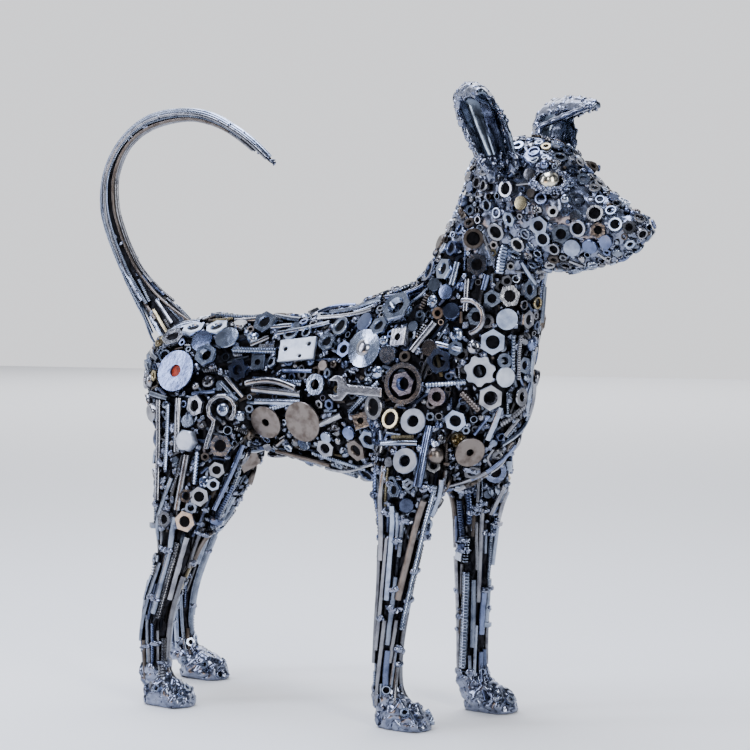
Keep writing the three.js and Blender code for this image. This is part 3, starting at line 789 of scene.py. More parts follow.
def scatter(heap, skin, taken, rng, inside, tries, mix, along, proud, overlap,
            fine=True, swing=0.55, dim=1.0):
    """Throws pieces at the skin and keeps those that find room.

    mix holds (share, kind, smallest, largest, thickness): kinds with a thickness lie on their side.
    along gives the direction that lying pieces prefer, and swing how far they turn from it. proud is how
    far tops stand out of the skin, and dim is painted shade that darkens pieces that lie deep.
    """
    share = np.array([row[0] for row in mix], float)
    share /= share.sum()
    for _ in range(tries):
        spot, normal = skin.random_spot(rng)
        _, kind, smallest, largest, thickness = mix[int(rng.choice(len(mix), p=share))]
        size, turn, tilt = rng.uniform(smallest, largest), rng.normal(), rng.normal(0, LEAN, 3)
        # The tint's random share is each scrap's own tone; dim adds painted shade to the deeper layers.
        tint, metal = rng.random() * dim, random_steel(rng)
        lift, thick = rng.uniform(*proud), thickness * rng.uniform(0.85, 1.15)
        if not inside(spot):
            continue
        if thickness:
            way = along(spot)
            heading = way / np.linalg.norm(way) + swing * turn * np.cross(normal, way)
            if kind in LAID:
                lay_rod(heap, skin, taken, spot, heading, size, thick, kind, metal, tint, lift, overlap)
            else:
                lay_stiff(heap, skin, taken, spot, normal, heading, size, thick, kind, metal, tint, lift,
                          overlap)
        elif taken.free(spot[None], size / 2 * MM, overlap):
            lay = basis(normal + tilt, [math.cos(turn * 3), math.sin(turn * 3), 0.3])
            face_up(heap, kind, size, lay, spot, normal, lift, metal, tint, fine)
            taken.take(spot[None], size / 2 * MM)


def drop_weld(heap, rng, spot, normal, radius, shape, sink, dullest, way=None, fine=True):
    """Sets a bead of weld metal, sunk into the skin by sink mm, its length along way or any way."""
    form = bead(radius, rng, fine, shape)
    lay = basis(normal, rng.normal(size=3) if way is None else way)
    heap.place(form, lay, spot - normal * sink * MM, steel(WELD), rng.uniform(dullest, 1))


def weld_lumps(heap, skin, taken, rng, inside, count, smallest, largest, sink, room):
    """Drops beads of weld metal between the pieces, where the nearest one is at least room away."""
    for _ in range(count):
        spot, normal = skin.random_spot(rng)
        radius = rng.uniform(smallest, largest)
        if inside(spot) and taken.free(spot[None], room * MM, 0):
            drop_weld(heap, rng, spot, normal, radius, (1.3, 1, 0.8), sink, 0.3, fine=radius >= 1.4)


# The bare forms under the hardware

def lumps(points, size_mm, seed):
    """A smooth pseudo-random height from -1 to 1 at each point, with humps about size_mm apart."""
    rng = np.random.default_rng(seed)
    waves = rng.normal(size=(5, 3))
    length = np.linalg.norm(waves, axis=1)[:, None]
    waves *= 2 * math.pi / (size_mm * MM) * rng.uniform(0.6, 1.3, (5, 1)) / length
    return np.sin(points @ waves.T + rng.uniform(0, 6, 5)).sum(1) / 2.6


def reshape(piece, change):
    """Moves every point of a mesh to change(points, normals)."""
    rows = piece.data.vertices
    rows.foreach_set("co", change(read(rows, "co"), read(rows, "normal")).ravel())
    piece.data.update()


def clad(piece, materials, replaced, tint, painted_shade):
    """Gives a remeshed form its steels, one tint and one amount of painted shade, and ties it to the frame.
    """
    for name in materials:
        piece.data.materials.append(bpy.data.materials[name])
    count = len(piece.data.vertices)
    piece.data.polygons.foreach_set("use_smooth", np.ones(len(piece.data.polygons), bool))
    write(piece.data, "tint", np.full(count, tint))
    write(piece.data, "painted_shade", np.full(count, painted_shade))
    dressed(piece, replaced)


def second_steel(piece, chosen):
    """Gives the faces whose place is chosen the second of the piece's steels."""
    faces = piece.data.polygons
    faces.foreach_set("material_index", [int(chosen(centre)) for centre in read(faces, "center")])


# The head begins above a line from the nape, forward and down to the throat.
NAPE = (0.050, 0.318)        # x and z
HEAD_SLOPE = 0.46            # how much the line falls for each step forward
HEAD_BLEND = 0.012           # m, over which the neck's deep skin becomes the head's


def over_neck(points):
    """How far points stand above the line between neck and head."""
    points = np.asarray(points)
    return points[..., 2] - (NAPE[1] - HEAD_SLOPE * (points[..., 0] - NAPE[0]))


def on_head(spot):
    return spot[0] > NAPE[0] and over_neck(spot) > 0


HEAD_DEPTH = 0.0026          # m, as the weld metal between the head's scraps lies closer to their faces
SKIN_VOXEL = 0.0028          # m, the mesh size of the one skin that the body and the legs become
SKIN_SMOOTHING = 6           # rounds of smoothing, which soften the step at the end of each limb


def make_core(settings):
    """The dark skin under the scraps and the rods, partly painted shade, and the weld metal between the
    head's scraps.
    """
    piece = merged_copy(["welded_shell"] + LEG_NODES, "scale_and_shade_skin", SKIN_VOXEL, SKIN_SMOOTHING)

    def change(points, normals):
        head = np.clip(over_neck(points) / HEAD_BLEND + 0.5, 0, 1) * (points[:, 0] > NAPE[0] - 0.01)
        # Slag lies on it in lumps of 9 mm, with smaller ones on them.
        rough = 1 - 0.35 * lumps(points, 9, 3) - 0.2 * lumps(points, 4.5, 4)
        inward = (settings.scrap_depth * (1 - head) + HEAD_DEPTH * head) * rough
        return points - normals * inward[:, None]

    reshape(piece, change)
    clad(piece, [SCALE_AND_SHADE, WELD], ["welded_shell"] + LEG_NODES, 0.55, 0.12)
    second_steel(piece, on_head)


# Legs and paws

PAW_TOP = 26                 # mm above the floor
SHANK = (0.04, 0.135)        # z, the lower and the upper end of the longest rods
LIMB_FLOOR = 0.022           # z, where the limbs' rods end at the paws
THIGH_FLOOR = 0.125          # z, above which a limb is covered like the body
HIND_FROM = -0.06            # x, behind which a limb is a hind one
THIGH_FROM = -0.075          # x, behind which the body's skin is a thigh's
ARM_FROM = 0.015             # x, in front of which it is an upper arm's
ARM_CLEAR = 0.014            # m, from the dog's middle plane to the inside of its arms

# Which way each leg runs upwards. Below the hock a hind leg leans the other way.
LEG_RUN = {
    "right_front": (0.12, 0.0, 1.0), "left_front": (0.03, 0.0, 1.0),
    "right_hind": (0.27, -0.06, 1.0), "left_hind": (0.36, -0.05, 1.0),
}
HOCK = 0.066                 # z
HOCK_RUN = (-0.03, 0.0, 1.0)
LIMB_TOP = {"front": 0.175, "hind": 0.165}     # z, where the limbs' long rods begin


def limb_of(spot):
    """The leg whose region a place is in."""
    side = "right" if spot[1] < MIDDLE_Y else "left"
    return side + ("_hind" if spot[0] < HIND_FROM else "_front")


def on_shank(spot):
    """Whether a place is on the lower leg, where the longest rods run."""
    return SHANK[0] < spot[2] < SHANK[1] and on_limb(spot)


def along_limb(spot):
    leg = limb_of(spot)
    return np.array(HOCK_RUN if leg.endswith("hind") and spot[2] < HOCK else LEG_RUN[leg])


def on_limb(spot):
    """Whether a place is on an arm, a thigh or a leg, above its paw."""
    if spot[2] < LIMB_FLOOR:
        return False
    if spot[0] < THIGH_FROM:
        return spot[2] < LIMB_TOP["hind"] - 0.2 * (spot[0] + 0.13)
    return spot[0] > ARM_FROM and abs(spot[1] - MIDDLE_Y) > ARM_CLEAR and spot[2] < LIMB_TOP["front"]


# Mixes of scraps, in rows of (share, kind, smallest, largest, thickness)
LONG_RODS = [(5, "pin", 60, 120, 4.8), (2.2, "stud", 50, 110, 5.0), (2, "pin", 50, 90, 3.6)]
LIMB_MIX = [
    (5, "pin", 26, 70, 4.2), (4, "pin", 18, 50, 3.2), (2.4, "stud", 24, 60, 4.4),
    (1.2, "stud", 16, 40, 3.2), (1, "plain_bolt", 22, 36, 4.2), (0.5, "spring", 12, 18, 3.4),
    (0.5, "nut", 7, 11, 0),
]
LIMB_FILL = [(5, "pin", 12, 34, 2.6), (1, "stud", 12, 30, 2.8), (0.4, "nut", 5, 8, 0)]
LIMB_UNDER = [(1, "pin", 20, 50, 3.2)]


def make_leg_core(leg):
    """The leg's dark middle, partly painted shade, and under it the paw's body of weld metal."""
    name = leg + "_leg"
    piece = merged_copy([name], leg + "_paw", 0.0019, 3)

    def change(points, normals):
        # The paw swells in bumps of 1.7 mm, the leg above it lies 4 mm deep, and the sole stays flat.
        up = np.clip((points[:, 2] / MM - PAW_TOP + 5) / 6, 0, 1)
        bumps = lumps(points, 9, 5) * 1.7 + lumps(points, 5, 6) * 0.6
        outward = (1 - up) * (bumps - 0.7) - up * (4.0 - 0.6 * bumps)
        outward = np.where(points[:, 2] < 0.0022, -0.2, outward)
        return points + normals * outward[:, None] * MM

    reshape(piece, change)
    clad(piece, [WELD, SCALE_AND_SHADE], [name], 0.75, 0.04)
    second_steel(piece, lambda centre: centre[2] > PAW_TOP * MM)


PAW_TRIES = 700
PAW_KNOB = (2.0, 4.4)        # mm, the knobs' radii
PAW_NUT = (4.5, 6.5)         # mm, the sizes of the nuts and tube ends between them
SOLE = 0.2                   # mm above the floor, the lowest point of a knob


def make_paw(heap, skin, rng, taken):
    """Knobs of weld metal, small nuts and open tube ends over the paw."""
    for _ in range(PAW_TRIES):
        spot, normal = skin.random_spot(rng)
        if not 0.003 < spot[2] < PAW_TOP * MM + 0.002 or normal[2] < -0.25:
            continue
        radius = rng.uniform(*PAW_KNOB)
        if spot[2] < 0.8 * radius * MM or not taken.free(spot[None], radius * MM, 0.5):
            continue
        taken.take(spot[None], radius * MM)
        if rng.random() < 0.2 and normal[2] > 0:
            kind = "tube" if rng.random() < 0.5 else "nut"
            size, lay = rng.uniform(*PAW_NUT), basis(normal, rng.normal(size=3))
            face_up(heap, kind, size, lay, spot, normal, 1.0, steel(ZINC), rng.uniform(0.6, 1), False)
        else:
            lump = bead(radius, rng, True, (1.25, 1, 0.55))
            foot = spot - normal * (0.8 + 0.25 * radius) * MM
            lump = lump.moved(basis(normal, rng.normal(size=3)), foot, MM)
            lump.points[:, 2] = np.maximum(lump.points[:, 2], SOLE * MM)
            heap.add(lump, steel(WELD), rng.uniform(0.4, 1))


def bridge_rods(heap, skin, rng, spot, normal):
    """A run of weld across two or three rods."""
    way = np.cross(normal, along_limb(spot))
    way /= np.linalg.norm(way)
    for _ in range(int(rng.integers(3, 7))):
        radius = rng.uniform(1.0, 2.1)
        place, out = skin.nearest(spot)
        drop_weld(heap, rng, place, out, radius, (1.3, 1, 0.8), 0.25 * radius, 0.5, way, radius >= 1.5)
        spot = place + way * 0.0017 + rng.normal(0, 0.0006, 3)


def make_legs(settings, skin, taken):
    """The legs' rods and welds in one piece, and the four paws' knobs in another."""
    rng = np.random.default_rng(settings.seed + 20)
    heap = Heap()
    for leg in LEGS:
        make_leg_core(leg)
    # A ring of long rods first, so that each leg reads as a bundle, then whatever fits between them.
    tries = settings.leg_tries
    scatter(heap, skin, taken, rng, on_shank, tries // 2, LONG_RODS, along_limb, (-0.3, 0.6), 0.1,
            swing=0.02, dim=0.85)
    scatter(heap, skin, taken, rng, on_limb, tries, LIMB_MIX, along_limb, (-0.8, 0.4), 0.12,
            swing=0.05, dim=0.7)
    scatter(heap, skin, taken, rng, on_limb, tries, LIMB_FILL, along_limb, (-1.6, -0.3), 0.15,
            fine=False, swing=0.08, dim=0.5)
    scatter(heap, skin, Footprints(), rng, on_limb, tries // 3, LIMB_UNDER, along_limb, (-4.2, -2.6), 0.2,
            fine=False, swing=0.06, dim=0.5)
    for _ in range(settings.leg_welds):
        spot, normal = skin.random_spot(rng)
        if on_limb(spot):
            bridge_rods(heap, skin, rng, spot, normal)
    heap.made("leg_rods", "rod_steel", skin, 0.004, LEG_NODES)
    paws = Heap()
    for name in LEG_NODES:
        make_paw(paws, Skin([name], 0.0016, 3), rng, Footprints())
    paws.made("paw_welds", "rod_steel", skin, 0.02, LEG_NODES)


# The tail

TAIL_AXIS = (-0.1375, 0.328)      # x and z of the middle of the tail's curl
TAIL_PARTS = 26
TAIL_END = 330                    # degrees round that middle from the front, past which its root is
TAIL_ROOT = 0.285                 # z, below which scraps hide where the tail joins the rump
TAIL_ROOT_RUN = (-0.55, 0, 0.8)
TAIL_WELDS = 110
ROD_THICK = (2.6, 3.6)            # mm


def tail_course(skin):
    """The middle line of the tail and its half width at each point, from rays about the curl's middle."""
    x, z = skin.points[:, 0] - TAIL_AXIS[0], skin.points[:, 2] - TAIL_AXIS[1]
    turn = np.degrees(np.arctan2(z, x)) % 360
    turn = np.where(turn > TAIL_END, turn - 360, turn)
    first, last = np.percentile(turn, 1), np.percentile(turn, 99)
    course, widths = [], []
    for level in np.linspace(first, last, TAIL_PARTS):
        near = np.abs(turn - level) < 5
        if near.sum() < 8:
            continue
        reach = np.hypot(x[near], z[near])
        middle = (reach.min() + reach.max()) / 2
        angle = math.radians(level)
        y = skin.points[near, 1]
        course.append([TAIL_AXIS[0] + middle * math.cos(angle), (y.min() + y.max()) / 2,
                       TAIL_AXIS[1] + middle * math.sin(angle)])
        widths.append([(reach.max() - reach.min()) / 2, (y.max() - y.min()) / 2])
    return np.array(course), np.array(widths)


def make_tail(settings):
    """The tail's dark core, partly painted shade, the rods that run round it and the welds between them."""
    rng = np.random.default_rng(settings.seed + 31)
    skin = Skin(["tail"], 0.002, 3)
    core = merged_copy(["tail"], "tail_core", 0.0019, 3)

    def change(points, normals):
        return points - normals * (0.0016 + 0.0004 * lumps(points, 4, 8))[:, None]

    reshape(core, change)
    clad(core, [SCALE_AND_SHADE], ["tail"], 0.6, 0.1)
    heap = Heap()
    course, widths = tail_course(skin)
    across = (course - [TAIL_AXIS[0], 0, TAIL_AXIS[1]]) * [1, 0, 1]
    across /= np.linalg.norm(across, axis=1, keepdims=True)
    count = settings.tail_rods
    for rod in range(count):
        angle = 2 * math.pi * (rod + 0.2 * rng.uniform(-1, 1)) / count
        drift = rng.uniform(-0.4, 0.4)
        thick = rng.uniform(*ROD_THICK)
        first, last = int(rng.integers(0, 4)), len(course) - int(rng.integers(0, 6))
        line = []
        for row in range(first, last):
            turn = angle + drift * (row - first) / len(course)
            slim = 1 - 0.4 * row / len(course)
            out, aside = np.maximum(widths[row] - thick * slim / 2 * MM, 0.0006)
            line.append(course[row] + across[row] * out * math.cos(turn) + [0, aside * math.sin(turn), 0])
        line = np.array(line) / MM
        metal = random_steel(rng, ROD_STEELS)
        if rod % 4 == 1:
            form = threaded_rod(line, thick * 0.85, 1.5)
        else:
            fine = smooth_line(line, 4)
            form = swept(fine, np.linspace(thick / 2, thick * 0.33, len(fine)), 10)
        heap.add(form.moved(scale=MM), metal, rng.random())
    for _ in range(TAIL_WELDS):
        spot, normal = skin.random_spot(rng)
        drop_weld(heap, rng, spot, normal, rng.uniform(0.7, 1.4), (1.6, 1, 0.7), 0.6, 0.4)
    scatter(heap, skin, Footprints(), rng, lambda spot: spot[2] < TAIL_ROOT, 260, LIMB_FILL,
            lambda spot: np.array(TAIL_ROOT_RUN), (-0.4, 0.4), 0.1, fine=False, swing=0.1)
    heap.made("tail_rods", "rod_steel", skin, 0.003, ["tail"])


# Ears and eyes

EAR_TURN = {"right": -42, "left": -10}     # degrees to the left of the dog's front that each cup opens
CUP_FLOOR = {"right": 0.361, "left": 0.352}    # z, below which weld fills each cup
EAR_WELDS = 360
RIM_STEPS = 72
RIM_THICK = 3.6              # mm


def ear_rim(skin, opening):
    """The ear's edge: what reaches furthest in each direction, seen the way that the cup opens."""
    sideways = np.cross(opening, UP)
    middle = skin.points.mean(0)
    u, v = (skin.points - middle) @ sideways, (skin.points - middle) @ UP
    turn = np.arctan2(v, u)
    rim = []
    for step in range(RIM_STEPS):
        angle = -math.pi + 2 * math.pi * step / RIM_STEPS
        aside = np.abs((turn - angle + math.pi) % (2 * math.pi) - math.pi)
        near = aside < math.pi / RIM_STEPS * 1.5
        if near.any():
            rim.append(skin.points[int((np.hypot(u, v) * near).argmax())])
    rim = np.array(rim)
    for _ in range(3):
        rim = (np.roll(rim, 1, 0) + 2 * rim + np.roll(rim, -1, 0)) / 4
    inward = (middle - rim) / np.linalg.norm(middle - rim, axis=1, keepdims=True)
    return rim, inward


def make_ear(side, settings):
    """One ear: its bent sheet, the rolled weld round its edge and the lumps on its back and in its cup."""
    name = side + "_ear"
    sense = -1 if side == "right" else 1
    rng = np.random.default_rng(settings.seed + 41 + sense)
    skin = Skin([name], 0.0012, 2)
    piece = merged_copy([name], side + "_ear_sheet", 0.0012, 10)
    turned_to = math.radians(EAR_TURN[side])
    opening = np.array([math.cos(turned_to), math.sin(turned_to), 0.0])
    faces = piece.data.polygons
    # Only the inside of the cup faces its own other wall.
    inner = []
    for centre, normal in zip(read(faces, "center"), read(faces, "normal")):
        wall = skin.hit(centre + normal * 0.001, normal)
        inner.append((wall is not None and normal @ opening > -0.5) or normal @ opening > 0.75)
    clad(piece, [WELD, SHEET], [name], 0.7, 0.05)
    faces.foreach_set("material_index", np.array(inner, int))
    heap = Heap()
    rim, inward = ear_rim(skin, opening)
    loop = (rim + inward * RIM_THICK / 2 * MM) / MM
    rolled = smooth_line(np.vstack([loop, loop[:1]]), 1.2)
    bumpy = RIM_THICK / 2 * (1 + 0.25 * lumps(rolled * MM, 7, 9))
    heap.add(swept(rolled, bumpy, 10).moved(scale=MM), steel(WELD), 0.9)
    for place in rim:
        spot, normal = skin.nearest(place + rng.normal(0, 0.0012, 3))
        drop_weld(heap, rng, spot, normal, rng.uniform(0.9, 1.7), (1.3, 1, 0.9), 0.3, 0.5)
    for _ in range(EAR_WELDS):
        spot, normal = skin.random_spot(rng)
        inside = skin.hit(spot + normal * 0.0005, normal) is not None or normal @ opening > 0.35
        if inside and spot[2] > CUP_FLOOR[side]:
            continue
        radius = rng.uniform(2.2, 3.4) if inside else rng.uniform(1.5, 2.5)
        shape = (1.25, 1, 0.9 if inside else 0.45)
        drop_weld(heap, rng, spot, normal, radius, shape, 0.2 * radius, 0.4, fine=radius >= 1.9)
    heap.made(side + "_ear_welds", "rod_steel", skin, 0.01, [name])


HEAD_CORE_X = 0.145          # x of the head's middle between its eyes
EYE_CLEAR = 0.0092           # m, as nothing else lies closer than this to an eye's middle
LID_WIDE = 9.0               # mm, half the almond's width
LID_HIGH = 6.5               # mm, half its height
LID_THICK = 2.2              # mm
LID_BEADS = 46               # beads round the almond, in layers from the inside out
LID_LAYERS = 3
LID_STEP = 0.9               # mm that each layer lies deeper than the last
LID_FRONT = 2.6              # mm from the ball's middle out to the lids
SOCKET_EDGE = 1.5            # mm that the disc of painted shade behind the ball reaches past the almond


def eye_places(skin):
    """The middle of each eye ball and the way it looks."""
    found = {}
    for side in ("right", "left"):
        low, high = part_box(side + "_eye_ball")
        middle = (np.array(low) + np.array(high)) / 2
        outward = skin.nearest(middle + (middle - [HEAD_CORE_X, MIDDLE_Y, middle[2]]) * 0.5)[1]
        found[side] = (middle, outward / np.linalg.norm(outward))
    return found


def make_eyes(settings, skin):
    """The two balls, a dark disc of painted shade behind them and the almond of beads round each."""
    rng = np.random.default_rng(settings.seed + 61)
    for side, (middle, outward) in eye_places(skin).items():
        name = side + "_eye_ball"
        ball = merged_copy([name], side + "_eye_bearing", 0.0008, 12)
        clad(ball, [BEARING], [name], 0.9, 0.0)
        heap = Heap()
        lay = basis(outward, [1.0, 0.0, -0.12])
        front = middle + outward * LID_FRONT * MM
        reach = LID_WIDE + SOCKET_EDGE
        # A dark disc behind the ball stands in for the shade of its socket.
        socket = turned([(reach, 0), (reach, 0.4)], 24)
        heap.place(socket, lay, middle - outward * 1.0 * MM, steel(SCALE_AND_SHADE), 0.1)
        for step in range(LID_BEADS):
            angle = 2 * math.pi * step / LID_BEADS
            corner = abs(math.cos(angle)) ** 3
            at = [LID_WIDE * math.cos(angle) * (1 + 0.1 * corner), LID_HIGH * math.sin(angle), -1.6 * corner]
            for layer in range(LID_LAYERS):
                wider = 1 + 0.2 * layer
                lump = bead(LID_THICK / 2 * rng.uniform(0.85, 1.25), rng, layer < 2)
                spot = front + lay @ (np.array(at) * [wider, wider, 1] - [0, 0, LID_STEP * layer]) * MM
                heap.place(lump, lay, spot + rng.normal(0, 0.0002, 3), steel(WELD), rng.uniform(0.6, 1))
        heap.made(side + "_eye_lids", "welded_steel", skin, 0.01)


# The scraps that are solids of their own, each drawn again in full detail where it stands

# name: (kind, steel). The size, place and lean come from the solid itself.
SOLID_SCRAPS = {
    "hip_washer": ("thick_washer", BLUED),
    "rump_nut": ("nut", ZINC),
    "thigh_bolt_head": ("hex_head", BRUSHED),
    "thigh_hook": ("copy", ROLLED),
    "thigh_screw_head": ("star_head", ZINC),
    "flank_disc": ("small_hole_washer", WEATHERED),
    "belly_disc": ("disc", WEATHERED),
    "hole_plate": ("copy", BRUSHED),
    "flank_rod": ("copy", ROLLED),
    "flank_washer": ("washer", ZINC),
    "shoulder_dome_washer": ("dome_washer", ZINC),
    "shoulder_spanner": ("copy", ROLLED),
    "shoulder_ring": ("ring", ROLLED),
    "ring_nut": ("nut", BLUED),
    "withers_nut": ("nut", ZINC),
    "shoulder_washer": ("washer", BRUSHED),
    "arm_washer": ("washer", BRUSHED),
    "chest_notched_washer": ("notched", BLUED),
    "chest_nut": ("nut", ROLLED),
    "brisket_washer": ("small_hole_washer", WEATHERED),
    "neck_c_rod": ("copy", ROLLED),
    "left_hip_washer": ("thick_washer", ROLLED),
    "left_thigh_nut": ("nut", ZINC),
    "left_flank_disc": ("disc", BLUED),
    "left_shoulder_washer": ("washer", ZINC),
    "left_shoulder_ring": ("ring", ROLLED),
    "left_chest_nut": ("nut", ROLLED),
}


def node_points(name):
    """The places of a CAD node's points."""
    return np.array([v.co for v in nodes[name].data.vertices])


def lay_of(name, skin):
    """The axes, the middle and the extents of a flat solid scrap, with its Z out of the dog."""
    points = node_points(name)
    middle = (points.min(0) + points.max(0)) / 2
    _, _, axes = np.linalg.svd(points - points.mean(0), full_matrices=False)
    outward = skin.nearest(middle)[1]
    best = max(axes, key=lambda axis: abs(axis @ outward))
    normal = best if best @ outward > 0 else -best
    lay = basis(normal, axes[0] if abs(axes[0] @ normal) < 0.5 else axes[1])
    local = (points - middle) @ lay
    middle = middle + lay @ ((local.min(0) + local.max(0)) / 2)
    return lay, middle, (local.max(0) - local.min(0)) / MM


def make_scraps(skin, taken):
    """Each solid scrap drawn again where it stands, with its place on the skin taken."""
    for name, (kind, metal) in SOLID_SCRAPS.items():
        lay, middle, extents = lay_of(name, skin)
        width, thick = min(extents[0], extents[1]), extents[2]
        if kind == "copy":
            piece = merged_copy([name], name + "_scrap", 0.0006, 1)
            clad(piece, [metal], [name], 0.85, 0.05)
            spots = np.array([skin.nearest(point)[0] for point in node_points(name)])
            taken.take(spots, min(width / 2 * MM, 0.0022))
            continue
        form = {
            "nut": lambda: nut(width, 0.56 * width, thick, 24, 2),
            "hex_head": lambda: hex_head(width, thick, 24),
            "star_head": lambda: screw_head(width, thick, "star", 18),
            "thick_washer": lambda: washer(width, 0.28 * width, thick, 36),
            "ring": lambda: washer(width, 0.75 * width, thick, 36),
            "washer": lambda: washer(width, 0.45 * width, thick, 30),
            "dome_washer": lambda: washer(width, 0.3 * width, thick * 0.5, 36, thick * 0.5),
            "notched": lambda: toothed(width, 0.5 * width, thick, 5, 0.14),
            "small_hole_washer": lambda: washer(width, 0.22 * width, thick, 30),
            "disc": lambda: plain_disc(width, thick, 30, 0.4),
        }[kind]()
        heap = Heap()
        foot = middle - lay[:, 2] * thick / 2 * MM
        heap.place(form, lay, foot, steel(metal), 0.9)
        if name == "hip_washer":
            painted = turned([(5, 0), (5, 0.3)], 16)
            heap.place(painted, lay, foot - lay[:, 2] * 0.2 * MM, steel(RED), 0.9)
        if name == "shoulder_dome_washer":
            screw = screw_head(0.42 * width, 2.6, "plain", 10)
            heap.place(screw, lay, foot + lay[:, 2] * thick * 0.5 * MM, steel(ROLLED), 1.0)
        heap.made(name + "_scrap", "bright_steel", skin, 0.006, [name])
        taken.take(skin.nearest(middle)[0][None], width / 2 * MM)


# Scraps set where the photograph shows them, by the pixel that their middle is seen at

# name: (kind, column, row, size in mm, steel)
SEEN_FACES = {
    "rump_edge_nut": ("nut", 192, 329, 14, ZINC), "rump_edge_nut_two": ("nut", 217, 328, 15, ZINC),
    "rump_edge_nut_three": ("nut", 264, 322, 15, ZINC), "torn_plate_rear": ("disc", 202, 341, 16, BLUED),
    "torn_plate_front": ("disc", 227, 338, 17, ZINC), "rump_slot_head": ("slot_head", 252, 336, 9, ZINC),
    "back_ring": ("ring", 291, 334, 11, ZINC), "back_ring_two": ("ring", 307, 332, 8, ZINC),
    "flank_toothed": ("toothed", 238, 370, 15, BLUED),
    "flank_square_nut": ("square_nut", 258, 363, 10, ZINC),
    "belly_hex_head": ("hex_head", 304, 444, 9, ZINC),
    "belly_hex_head_two": ("hex_head", 326, 437, 8, ZINC), "belly_nut": ("nut", 357, 450, 14, WEATHERED),
    "thigh_ball_screw": ("button", 241, 416, 8, ZINC), "thigh_nut": ("nut", 221, 446, 14, ZINC),
    "thigh_nut_two": ("nut", 216, 469, 10, ROLLED), "thigh_nut_three": ("nut", 199, 496, 12, ROLLED),
    "thigh_nut_four": ("nut", 186, 522, 13, ROLLED), "thigh_nut_five": ("thin_nut", 213, 484, 8, ZINC),
    "thigh_cross_head": ("cross_head", 204, 482, 8, ZINC), "thigh_rear_nut": ("nut", 186, 496, 9, ZINC),
    "hip_low_washer": ("ring", 165, 356, 9, ZINC), "shoulder_hex_head": ("hex_head", 387, 354, 12, ZINC),
    "shoulder_slot_head": ("slot_head", 376, 372, 9, ZINC),
    "shoulder_low_ring": ("tube", 376, 407, 17, ROLLED),
    "shoulder_brown_ring": ("ring", 391, 419, 13, STRAW), "arm_nut": ("nut", 395, 490, 9, ZINC),
    "withers_disc": ("disc", 365, 322, 13, BLUED), "withers_small_nut": ("nut", 379, 327, 12, ZINC),
    "withers_square_nut": ("square_nut", 392, 313, 11, ZINC),
    "withers_square_nut_two": ("square_nut", 399, 337, 12, ROLLED),
    "back_flat_ring": ("ring", 341, 326, 13, ZINC),
    "withers_cross_head": ("cross_head", 383, 340, 7, ZINC),
    "withers_hex_head": ("hex_head", 430, 348, 11, ROLLED), "chest_rod_nut": ("nut", 456, 420, 13, ZINC),
    "chest_bright_star": ("toothed", 480, 371, 20, BRUSHED),
    "chest_disc": ("disc", 505, 377, 13, BRUSHED), "chest_small_washer": ("washer", 504, 361, 10, ZINC),
    "far_thigh_plate": ("plate", 249, 461, 20, WEATHERED),
    "chest_front_washer": ("washer", 521, 397, 12, ROLLED),
    "brass_cross_head": ("cross_head", 459, 441, 11, STRAW),
    "chest_ball": ("button", 436, 455, 11, WEATHERED), "chest_front_nut": ("nut", 524, 365, 10, ZINC),
    "chest_high_nut": ("nut", 455, 348, 9, ZINC), "neck_cross_head": ("cross_head", 431, 301, 9, ZINC),
    "neck_slot_head": ("slot_head", 455, 334, 10, ZINC),
    "neck_slot_head_two": ("slot_head", 474, 347, 10, ROLLED), "neck_nut": ("nut", 493, 342, 15, ZINC),
    "neck_c_rod_nut": ("nut", 476, 317, 11, ZINC), "neck_high_nut": ("nut", 509, 297, 13, ROLLED),
    "neck_high_nut_two": ("nut", 492, 298, 10, ZINC), "throat_nut": ("nut", 529, 290, 12, ZINC),
    "throat_disc": ("disc", 507, 319, 14, ZINC), "throat_ring": ("nut", 527, 320, 11, ROLLED),
    "throat_ring_two": ("ring", 537, 303, 8, STRAW), "nape_nut": ("nut", 477, 264, 13, ZINC),
    "nape_nut_two": ("nut", 444, 269, 13, ZINC), "nape_disc": ("disc", 446, 292, 10, BLUED),
    "cheek_tube": ("tube", 507, 187, 11, ROLLED), "nape_tube": ("tube", 495, 231, 12, ROLLED),
    "nape_tube_two": ("tube", 471, 239, 13, WEATHERED), "nape_tube_three": ("tube", 452, 248, 10, BLUED),
    "cheek_nut": ("nut", 510, 218, 9, ZINC), "cheek_ring": ("tube", 487, 205, 8, ZINC),
    "cheek_ring_two": ("ring", 497, 213, 7, ZINC), "brow_ring": ("ring", 519, 161, 8, ZINC),
    "brow_ring_two": ("ring", 534, 152, 8, BLUED), "cheek_low_ring": ("tube", 518, 244, 10, ROLLED),
    "cheek_low_nut": ("nut", 538, 225, 11, ZINC), "cheek_low_tube": ("tube", 543, 240, 10, ZINC),
    "jaw_nut": ("nut", 560, 235, 11, ZINC), "jaw_ring": ("tube", 555, 249, 8, ROLLED),
    "muzzle_tube": ("tube", 579, 228, 11, ZINC), "muzzle_tube_two": ("tube", 594, 213, 11, ROLLED),
    "muzzle_nut": ("nut", 598, 230, 9, ROLLED), "muzzle_nut_two": ("tube", 614, 225, 9, ZINC),
    "muzzle_nut_three": ("nut", 629, 227, 8, ROLLED), "muzzle_disc": ("disc", 572, 248, 11, ZINC),
    "muzzle_disc_two": ("disc", 590, 246, 10, BLUED), "muzzle_disc_three": ("disc", 606, 242, 9, BLUED),
    "muzzle_disc_four": ("disc", 576, 216, 8, ZINC), "copper_disc": ("disc", 521, 203, 9, STRAW),
    "cheek_pearl": ("button", 565, 198, 7, ZINC), "under_eye_ring": ("ring", 565, 212, 6, ZINC),
    "eye_corner_ring": ("ring", 570, 183, 6, ZINC), "muzzle_ring": ("ring", 611, 211, 7, ZINC),
    "muzzle_ring_two": ("ring", 600, 200, 6, ZINC), "nose_ring": ("tube", 641, 233, 7, ROLLED),
    "far_arm_chip": ("plate", 459, 556, 8, BRUSHED),
}

